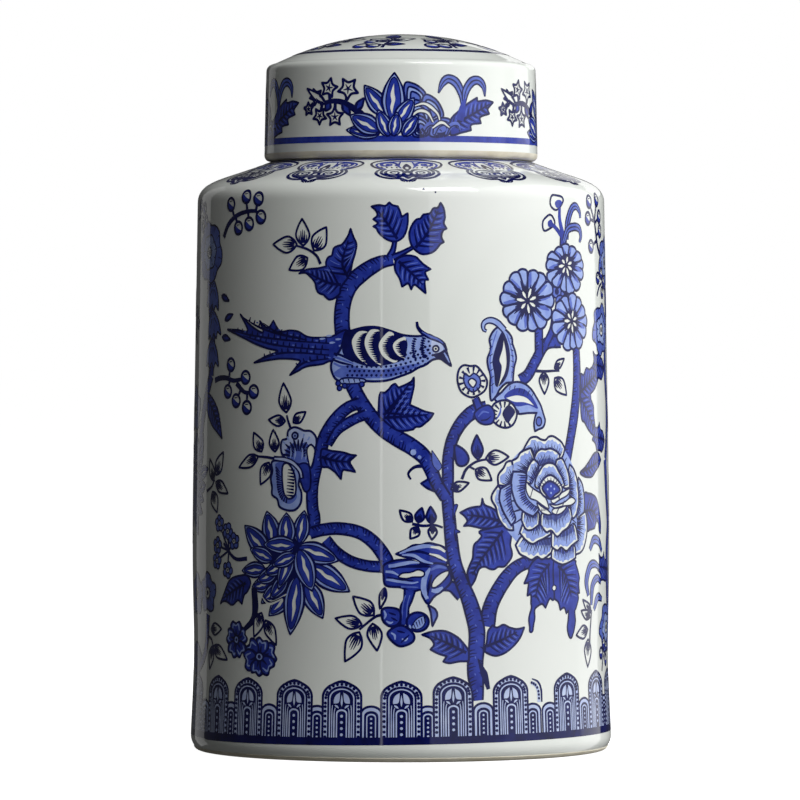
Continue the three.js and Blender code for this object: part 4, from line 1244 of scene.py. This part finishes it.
# fronds by the tall stem
for points in ([(96, 85), (100, 89), (106, 88), (110, 84)], [(95, 66), (93, 72), (96, 78), (101, 79),
        (107, 77)], [(98, 62), (99, 70), (104, 73), (109, 71)], [(101, 60), (105, 65), (111, 64)]):
    scene += frond(points, (1.0, 2.6, 2.4, 0.8))


def over_the_seam(marks, half):
    """Marks that run over the edge of the scene go on at its other edge, where the next one starts."""
    out = []
    for mark in marks:
        out.append(mark)
        if mark[0][:, 0].max() > half:
            out += moved([mark], -2 * half)
        if mark[0][:, 0].min() < -half:
            out += moved([mark], 2 * half)
    return out


scene = over_the_seam(scene, HALF_ROUND / 2)
# two specks of iron that the kiln left at the bend of the shoulder
scene += spot(9.5, 233, 0.5, LINE) + spot(14.4, 231.6, 0.4, LINE)
# ---------------------------------------------------------------------------------------------------
# The shoulder: a ring of twelve medallions made of paired scrolls, each set point down on the bend of
# the shoulder, and one thin blue ring just outside the lid.
# ---------------------------------------------------------------------------------------------------
def scroll(x, z, wide, tall, hand, width=1.5, tone=LINE):
    """A spiral that winds in to a dot."""
    points = []
    for n in range(13):
        a = math.radians(215) - math.tau * 1.25 * n / 12
        far = 1 - 0.7 * n / 12
        points.append((x + hand * wide * far * math.cos(a), z + tall * far * math.sin(a)))
    return stroke(points, (width, width * 1.2, width * 0.6), tone) + spot(x, z, width * 0.75, tone)


def medallion():
    """Half of it is drawn, then its mirror image."""
    lower = [(0, 8.2), (3.4, 10.4), (8, 10.5), (12, 12), (14.8, 15.2), (15, 19), (13, 22.2)]
    upper = [(13, 22.2), (16.4, 24), (19.2, 27), (20.2, 30.2), (17.6, 32.6), (11, 34.2), (4, 34.8),
        (0, 34.8)]
    marks = []
    for hand in (-1, 1):
        def half(points, scale=1.0):
            return [(hand * x * scale, 21 + (z - 21) * scale) for x, z in points]

        marks += stroke(half(lower), 1.5) + stroke(half(upper), 1.4)
        marks += stroke(half(lower[1:], 0.84), 1.5) + stroke(half(upper, 0.84), 1.3, DEEP)
        marks += stroke([(hand * 3.4, 10.6), (hand * 2.9, 8.9), (hand * 1.4, 7.9)], (1.2, 0.9, 0.4))
        marks += washed(half([(1.2, 12.5), (5, 13), (9.4, 13.8), (11.4, 16.6), (10.4, 20), (6.4, 21.6),
            (2, 21)]), LINE)
        marks += scroll(hand * 6.7, 17.2, 3.9, 3.4, hand, 1.1, BARE)
        marks += scroll(hand * 10.6, 28.4, 5.6, 3.5, hand, 1.7, DEEP)
        marks += stroke([(hand * 3.0, 23.2), (hand * 4.6, 27), (hand * 3.4, 32.4)], (0.6, 1.8, 0.6), DEEP)
        for n in range(4):
            marks += stroke([(hand * (5 + 2.6 * n), 23.4 + 0.2 * n), (hand * (5.8 + 2.8 * n), 25.2
                + 0.1 * n)], (1.1, 0.5), LINE)
    marks += washed([(0, 10), (2.3, 13.2), (2.1, 18), (0, 20.6), (-2.1, 18), (-2.3, 13.2)], LINE)
    marks += spot(0, 15.8, 1.1, BARE)
    marks += washed([(0, 20), (2.4, 24), (1.3, 28), (0, 29.4), (-1.3, 28), (-2.4, 24)], LINE)
    return marks + spot(0, 23.8, 0.9, BARE, 1.9)


MEDALLIONS = 12
medallion_pitch = 2 * HALF_ROUND / MEDALLIONS
one_medallion = moved(medallion(), 0, SHOULDER[1])
neck_ring = band(264.3, 265.4, HALF_ROUND, DEEP)
# ---------------------------------------------------------------------------------------------------
# The lid's painting: a band over its lower edge, four posies round its side, a ring round the foot of
# the dome, and sprigs set in a circle on top. The posies are the scene's flowers, drawn smaller.
# ---------------------------------------------------------------------------------------------------
LID_GIRTH = 57.3                              # round the lid, painting is measured at this radius
LID_BAND = (253.0, 255.6)
POSIES = 4
lid_half_round = math.pi * LID_GIRTH


def star_floret(x, z, r, turn):
    """A white floret with five pointed petals."""
    tips = []
    for n in range(10):
        a = math.radians(turn) + math.tau * n / 10
        far = r * (0.66 if n % 2 else 1.2)
        tip = (x + far * math.cos(a), z + far * math.sin(a))
        tips += [tip] if n % 2 else [tip, tip]
    marks = shape(tips, BARE, 1.1)
    for n in range(5):
        a = math.radians(turn) + math.tau * n / 5
        marks += stroke([(x, z), (x + r * 0.55 * math.cos(a), z + r * 0.55 * math.sin(a))], (0.9, 0.3))
    return marks


def posy():
    """A peony, a leaf with two curling sepals, a fan of pointed petals and a twig of florets."""
    marks = []
    # the peony on the right, from its outer lobes in
    for lobe in ([(1.5, 276.5), (5, 277), (9, 274.5), (10.5, 271.5), (9, 266), (2, 266)],
                 [(9.6, 272), (14, 271), (17, 267), (17.5, 263), (12, 260), (8, 264)],
                 [(14, 262), (20, 262.6), (22, 259), (19, 255.6), (12, 255.6)],
                 [(5, 270), (10, 268.4), (12.6, 264), (11.4, 259), (5.6, 258), (3, 263)],
                 [(6, 263.4), (10, 262.6), (12, 259), (10.8, 255.6), (5, 255.6)]):
        middle = np.mean(lobe, 0)
        for grow, tone in ((1.0, MID), (0.72, PALE), (0.44, MID)):
            sunk = (0, 1.4 * (1 - grow))
            marks += shape([tuple(middle + (np.array(p) - middle) * grow - sunk) for p in lobe], tone, 0.8)
    marks += leaf([(21, 262), (25, 266), (29, 269), (33.5, 271.5), (33.5, 271.5), (34, 270), (38, 270.5),
        (42, 269.8), (42, 269.8), (39, 267), (39.8, 265), (39.8, 265), (35, 263.5), (35.3, 261),
        (35.3, 261), (30.5, 260.3), (30.3, 258), (30.3, 258), (26, 257), (21, 256)],
        [(21, 259.5), (30, 264), (40, 269)])
    for points in ([(26.5, 268), (26, 273), (23.5, 277.5), (20, 279), (17.5, 277), (15.7, 273)],
                   [(27, 268), (28, 274), (31, 278), (34.5, 278.5), (37, 276), (37.5, 272)]):
        marks += stroke(points, (1.6, 3.6, 4.2, 3.6, 0.8)) + stroke(points, (0.6, 2.2, 2.8, 2.2, 0.2), MID)
        marks += stroke(points, (0.3, 0.7, 0.3))
    marks += stroke([(25, 262), (26.6, 268), (27.6, 271)], (3.6, 2.8, 1), DEEP)
    for n in range(3):
        marks += stroke([(9 + 5 * n, 256), (11 + 5 * n, 259.6), (14 + 5 * n, 260.4), (17 + 4 * n, 258)],
            (1.2, 2.2, 0.8), MID)
        marks += stroke([(9 + 5 * n, 255.6), (11 + 5 * n, 259), (14 + 5 * n, 259.8), (17 + 4 * n, 257.4)],
            (0.6, 0.5))
    for points in ([(3, 262), (7, 265.5), (11, 265), (13.5, 261)], [(5, 267.5), (10, 268.6), (15, 265),
            (16.5, 261)], [(13, 258.6), (17, 261), (20.5, 259)]):
        marks += stroke(points, (1.5, 2.3, 1.5), LINE) + stroke(points, (0.4, 1.2, 0.4), BARE)
    for n in range(4):
        marks += stroke([(2.5 + 2 * n, 261.5 - n), (4.5 + 2 * n, 257.5 - 0.5 * n)], (1.2, 0.7), LINE)
    marks += twig([(-13, 261), (-18, 265.5), (-24, 269), (-29, 270), (-36, 269)], (3.2, 2.6, 1.6))
    for base, tip in (((-19, 266), (-15.5, 271)), ((-25, 269), (-21.5, 264)), ((-31, 269.5), (-33, 266))):
        marks += white_leaf(base, tip, 3, 2, DEEP)
    for base, tip, width in (((-9, 256.5), (-23, 258), 6), ((-9, 257.5), (-21.5, 264), 8.5),
            ((-6, 264), (-15.3, 276.2), 8), ((-3.5, 262), (-2.7, 281.3), 10), ((-2, 260), (5.4, 271), 7),
            ((-5, 255.5), (-9.5, 266), 6.4), ((1, 255.5), (7, 264), 5.6), ((-3, 255.5), (-1.6, 265), 6)):
        marks += pointed_petal(base, tip, width)
    for x, z, r in ((-22.5, 275, 4), (-31.5, 275.5, 3.5), (-38, 272, 3), (-36, 264, 3), (-28.5, 263.5, 3.4),
                    (-42, 267, 2.4)):
        marks += twig([(x * 0.82 - 5, 269.4), (x, z)], 1.5) + star_floret(x, z, r, 90 + x * 5)
    marks += white_leaf((-33, 269), (-43, 275.5), 3.2, 2)
    return marks


one_posy = posy()
lid_band = band(*LID_BAND, lid_half_round, DEEP)


def dome_sprig():
    """A sprig that stands on the ring and points to the middle of the dome."""
    marks = twig([(0, -41.5), (0.6, -36), (2.2, -31), (1.2, -27)], (1.6, 1.2, 0.8))
    marks += white_leaf((2, -31), (11, -25), 6.4) + white_leaf((1.2, -33), (-7.6, -26.4), 6.2)
    marks += white_leaf((1.2, -27), (1.6, -16.5), 6, tone=DEEP) + white_leaf((0.4, -37), (8.6, -36), 4.6,
        tone=DEEP)
    marks += twig([(0.2, -37.5), (-5, -36.5), (-9, -37.5)], 1.0)
    return marks + berry(-9.8, -37.6, 2.9) + berry(-4.2, -38.6, 2.7) + berry(-6.4, -31.6, 2.6)


SPRIGS_ON_TOP, SPRIG_TURN = 8, -11
dome_marks = []
for n in range(SPRIGS_ON_TOP):
    dome_marks += moved(dome_sprig(), turn=SPRIG_TURN + 360 * n / SPRIGS_ON_TOP)
ring_line = [(44.5 * math.cos(a), 44.5 * math.sin(a)) for a in np.arange(0, math.tau, math.tau / 90)]
dome_marks = stroke(ring_line, 2.3, closed=True) + dome_marks
# ---------------------------------------------------------------------------------------------------
# Firing: the marks melt into the pot as thin films of cobalt just under the glaze's skin, one film for
# each strength of blue in each painted area. A film follows the pot's curve and shines as the glaze does.
# ---------------------------------------------------------------------------------------------------
FILM_LIFT = 0.07
TONE_NAMES = {FAINT: "faint_wash", PALE: "pale_wash", MID: "mid_wash", DEEP: "deep_wash", LINE: "dark_line"}


def cobalt(name, thin, thick, pool):
    """Cobalt under glaze: it gathers where the brush was full, and is thin where it was dry."""
    material, nodes, links, shader = new_material(name)
    depth = ramp(nodes, links, noise(nodes, links, 150, 6.0, 0.62), (0.5 - pool, thin), (0.5 + pool, thick))
    links.new(depth, shader.inputs["Base Color"])
    shader.inputs["Roughness"].default_value = GLAZE_ROUGHNESS
    shader.inputs["IOR"].default_value = GLAZE_IOR
    glaze_waves(nodes, links, shader)
    return material


cobalts = {
    FAINT: cobalt("cobalt_faint", (0.58, 0.66, 0.86), (0.38, 0.46, 0.77), 0.22),
    PALE: cobalt("cobalt_pale", (0.38, 0.49, 0.82), (0.17, 0.25, 0.66), 0.22),
    MID: cobalt("cobalt_mid", (0.13, 0.20, 0.64), (0.048, 0.08, 0.42), 0.20),
    DEEP: cobalt("cobalt_deep", (0.030, 0.060, 0.44), (0.006, 0.015, 0.22), 0.20),
    LINE: cobalt("cobalt_line", (0.003, 0.007, 0.11), (0.001, 0.002, 0.045), 0.20),
}


def on_profile(t, line, girth):
    """Lays marks on a turned surface: s is measured round it at one girth, and t up it."""
    line = np.array(line, float)
    along = np.gradient(line, axis=0)
    way = np.stack([along[:, 1], -along[:, 0]], 1) / np.hypot(*along.T)[:, None]

    def place(marks):
        s, height = marks.T
        r, z, wr, wz = (np.interp(height, t, v) for v in (*line.T, *way.T))
        a = s / girth
        out = np.stack([wr * np.sin(a), -wr * np.cos(a), wz], 1) / np.hypot(wr, wz)[:, None]
        return np.stack([r * np.sin(a), -r * np.cos(a), z], 1) + out * FILM_LIFT, out

    return place


def on_dome(marks):
    """Lays marks drawn in plan on the lid's dome."""
    x, y = marks.T
    middle = LID_TOP - dome_bend
    up = np.sqrt(dome_bend**2 - x**2 - y**2)
    out = np.stack([x, y, up], 1) / dome_bend
    return np.stack([x, y, up + middle], 1) + out * FILM_LIFT, out


def short_edges(loop, longest=2.4):
    """The loop with its long edges cut up, so that they bend with the pot."""
    ends = np.roll(loop, -1, 0)
    if np.abs(ends - loop)[:, 0].max() < longest:
        return loop
    pieces = []
    for start, end in zip(loop, ends):
        cuts = max(1, math.ceil(abs(end[0] - start[0]) / longest))
        pieces.append(start + (end - start) * (np.arange(cuts) / cuts)[:, None])
    return np.vstack(pieces)


def inside(loop, points):
    """Which points the loop goes round."""
    turns = np.zeros(len(points), int)
    x, y = points.T
    for (ax, ay), (bx, by) in zip(loop, np.roll(loop, -1, 0)):
        if ay != by:
            left = (bx - ax) * (y - ay) - (x - ax) * (by - ay)
            turns += ((ay <= y) & (by > y) & (left > 0)).astype(int)
            turns -= ((by <= y) & (ay > y) & (left < 0)).astype(int)
    return turns > 0


def fire(name, marks, place, area, step, body, repeats=(0.0,)):
    """Melts the marks within the area (s0, s1, t0, t1) on to the pot, once for each shift in repeats."""
    s0, s1, t0, t1 = area
    chosen = [m for m in marks if m[0][:, 0].max() > s0 and m[0][:, 0].min() < s1
              and m[0][:, 1].max() > t0 and m[0][:, 1].min() < t1]
    net = np.stack(np.meshgrid(np.arange(s0 + step / 2, s1, step), np.arange(t0 + step / 2, t1, step)), 2)
    verts = [np.array([(s0, t0), (s1, t0), (s1, t1), (s0, t1)], float), net.reshape(-1, 2)]
    edges, count = [(0, 1), (1, 2), (2, 3), (3, 0)], 4 + len(verts[1])
    for loop, tone, hole in chosen:
        for ring in (loop,) if hole is None else (loop, hole):
            ring = short_edges(ring)
            verts.append(ring)
            n = np.arange(len(ring)) + count
            edges.extend(zip(n.tolist(), np.roll(n, -1).tolist()))
            count += len(ring)
    cut = delaunay_2d_cdt([tuple(v) for v in np.vstack(verts)], edges, [], 0, 1e-5, False)
    points, triangles = np.array([tuple(v) for v in cut[0]]), np.array(cut[2])
    middle = points[triangles].mean(1)
    keep = (middle[:, 0] > s0) & (middle[:, 0] < s1) & (middle[:, 1] > t0) & (middle[:, 1] < t1)
    triangles, middle = triangles[keep], middle[keep]
    order = np.argsort(middle[:, 0])
    triangles, middle = triangles[order], middle[order]
    tones = np.zeros(len(triangles), int)
    for loop, tone, hole in chosen:
        low, high = np.searchsorted(middle[:, 0], (loop[:, 0].min(), loop[:, 0].max()))
        near = np.arange(low, high)
        near = near[(middle[near, 1] > loop[:, 1].min()) & (middle[near, 1] < loop[:, 1].max())]
        hit = inside(loop, middle[near])
        if hole is not None:
            hit &= ~inside(hole, middle[near])
        tones[near[hit]] = tone
    for tone, word in TONE_NAMES.items():
        own = triangles[tones == tone]
        if not len(own):
            continue
        used, back = np.unique(own, return_inverse=True)
        flat = np.vstack([points[used] + (shift, 0) for shift in repeats])
        faces = np.vstack([back.reshape(-1, 3) + n * len(used) for n in range(len(repeats))])
        places, outward = place(flat)
        mesh = bpy.data.meshes.new(f"{name}_{word}")
        mesh.from_pydata((places * MM).tolist(), [], faces.tolist())
        mesh.polygons.foreach_set("use_smooth", [True] * len(mesh.polygons))
        mesh.normals_split_custom_set_from_vertices(outward.tolist())
        film = bpy.data.objects.new(f"{name}_{word}", mesh)
        bpy.context.collection.objects.link(film)
        mesh.materials.append(cobalts[tone])
        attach(film, body)


arc = SHOULDER[1] + np.concatenate([[0], np.cumsum(np.hypot(*np.diff(shoulder, axis=0).T))])
on_jar = on_profile(np.concatenate([side[:, 1], arc[1:]]), np.vstack([side, shoulder[1:]]), GIRTH_RADIUS)
lid_line = np.array([(LID_RADIUS, LID_FOOT + 2.6), (LID_RADIUS - LID_TAPER, RIM_TOP)])
on_lid = on_profile(lid_line[:, 1], lid_line, LID_GIRTH)
scene_shift = HALF_ROUND / 2
fire("border", border, on_jar, (-HALF_ROUND, HALF_ROUND, 6.2, 36.2), 3.0, "jar")
fire("scene_front", scene, on_jar, (-scene_shift, scene_shift, 18, 234), 3.0, "jar")
fire("scene_back", scene, on_jar, (-scene_shift, scene_shift, 18, 234), 3.0, "jar", (HALF_ROUND,))
fire("medallion", one_medallion, on_jar, (-22, 22, 234, 265.9), 1.1, "jar",
     [3.2 + medallion_pitch * n for n in range(MEDALLIONS)])
fire("neck_ring", neck_ring, on_jar, (-HALF_ROUND, HALF_ROUND, 264, 266), 1.5, "jar")
fire("lid_posy", one_posy, on_lid, (-45, 45, 250, 283.8), 2.5, "lid",
     [2 * lid_half_round * n / POSIES for n in range(POSIES)])
fire("lid_band", lid_band, on_lid, (-lid_half_round, lid_half_round, 253, 257), 1.6, "lid")
fire("dome", dome_marks, on_dome, (-46, 46, -46, 46), 3.0, "lid")
# ---------------------------------------------------------------------------------------------------
# The studio: soft panels close on the right, brighter high up and towards the back, one overhead, a
# grey screen and a thin strip lamp by the camera, and two panels behind, a dim one on the left. The
# floor is a white table lit from within.
# ---------------------------------------------------------------------------------------------------
def soft_panel(name, centre, facing, width, height, shine, mirrored=True):
    """A soft panel. Shine is its brightness against white; an unmirrored one leaves no reflection."""
    lamp = bpy.data.lights.new(name, "AREA")
    lamp.shape = "RECTANGLE"
    lamp.size, lamp.size_y = width, height
    lamp.energy = shine * math.pi * width * height
    panel = bpy.data.objects.new(name, lamp)
    panel.location = centre
    panel.rotation_euler = Vector(facing).to_track_quat("-Z", "Y").to_euler()
    panel.visible_camera = False
    panel.visible_glossy = mirrored
    bpy.context.collection.objects.link(panel)


soft_panel("right_soft_panel", (0.8, -1.0, 0.4), (-1, 0, 0), 3.78, 2.2, 0.60)
soft_panel("right_high_panel", (0.81, -1.4, 0.88), (-1, 0, 0), 2.98, 1.24, 0.72)
soft_panel("right_near_panel", (0.82, 0.17, 0.4), (-1, 0, 0), 1.44, 2.2, 0.2)
soft_panel("right_back_panel", (0.83, 0.61, 0.4), (-1, 0, 0), 0.56, 2.2, 0.4)
soft_panel("right_fill_panel", (0.84, -1.72, 0.4), (-1, 0, 0), 2.34, 2.2, 0.25, mirrored=False)
soft_panel("overhead_panel", (0.75, -1.25, 1.9), (-0.75, 1.25, -1.7), 1.2, 1.0, 7.6)
soft_panel("grey_screen", (0.15, -3.0, 0.4), (0, 1, 0), 1.39, 2.2, 0.14, mirrored=False)
soft_panel("strip_lamp", (-0.36, -1.96, 0.124), (0.18, 0.98, 0), 0.044, 0.412, 1.9)
soft_panel("back_right_panel", (0.62, 1.6, 0.68), (-0.3, -1, -0.3), 1.0, 0.46, 0.9)
soft_panel("back_left_panel", (-1.42, 1.97, 0.4), (0.57, -0.82, 0), 0.79, 2.2, 0.33)

world = bpy.data.worlds.new("white_cove")
world.use_nodes = True
nodes, links = world.node_tree.nodes, world.node_tree.links
seen, background = nodes.new("ShaderNodeLightPath"), nodes["Background"]
shine = nodes.new("ShaderNodeMapRange")
shine.inputs["To Min"].default_value = 0.05
shine.inputs["To Max"].default_value = 1.0
links.new(seen.outputs["Is Camera Ray"], shine.inputs["Value"])
links.new(shine.outputs["Result"], background.inputs["Strength"])
background.inputs["Color"].default_value = (1, 1, 1, 1)
bpy.context.scene.world = world
bpy.context.scene.view_settings.view_transform = "Standard"

FLOOR_REACH, RINGS = 40.0, 48
table_white, nodes, links, shader = new_material("white_table")
shader.inputs["Base Color"].default_value = (0.8, 0.8, 0.8, 1)
shader.inputs["Roughness"].default_value = 0.9
shader.inputs["Emission Color"].default_value = (1, 1, 1, 1)
shader.inputs["Emission Strength"].default_value = 0.96
mesh = bpy.data.meshes.new("floor")
edge = [(FLOOR_REACH * math.cos(a), FLOOR_REACH * math.sin(a), -0.0001)
    for a in np.arange(RINGS) * math.tau / RINGS]
mesh.from_pydata(edge, [], [list(range(RINGS))])
floor = bpy.data.objects.new("floor", mesh)
mesh.materials.append(table_white)
bpy.context.collection.objects.link(floor)
floor.visible_diffuse = floor.visible_glossy = floor.visible_shadow = False

EYE, AIM = (0.0, -2.529, 0.1651), (-0.0004, 0.0, 0.1466)
camera_lens = bpy.data.cameras.new("camera")
camera_lens.lens = 271
camera = bpy.data.objects.new("camera", camera_lens)
camera.location = EYE
camera.rotation_euler = (Vector(AIM) - Vector(EYE)).to_track_quat("-Z", "Y").to_euler()
bpy.context.collection.objects.link(camera)
bpy.context.scene.camera = camera
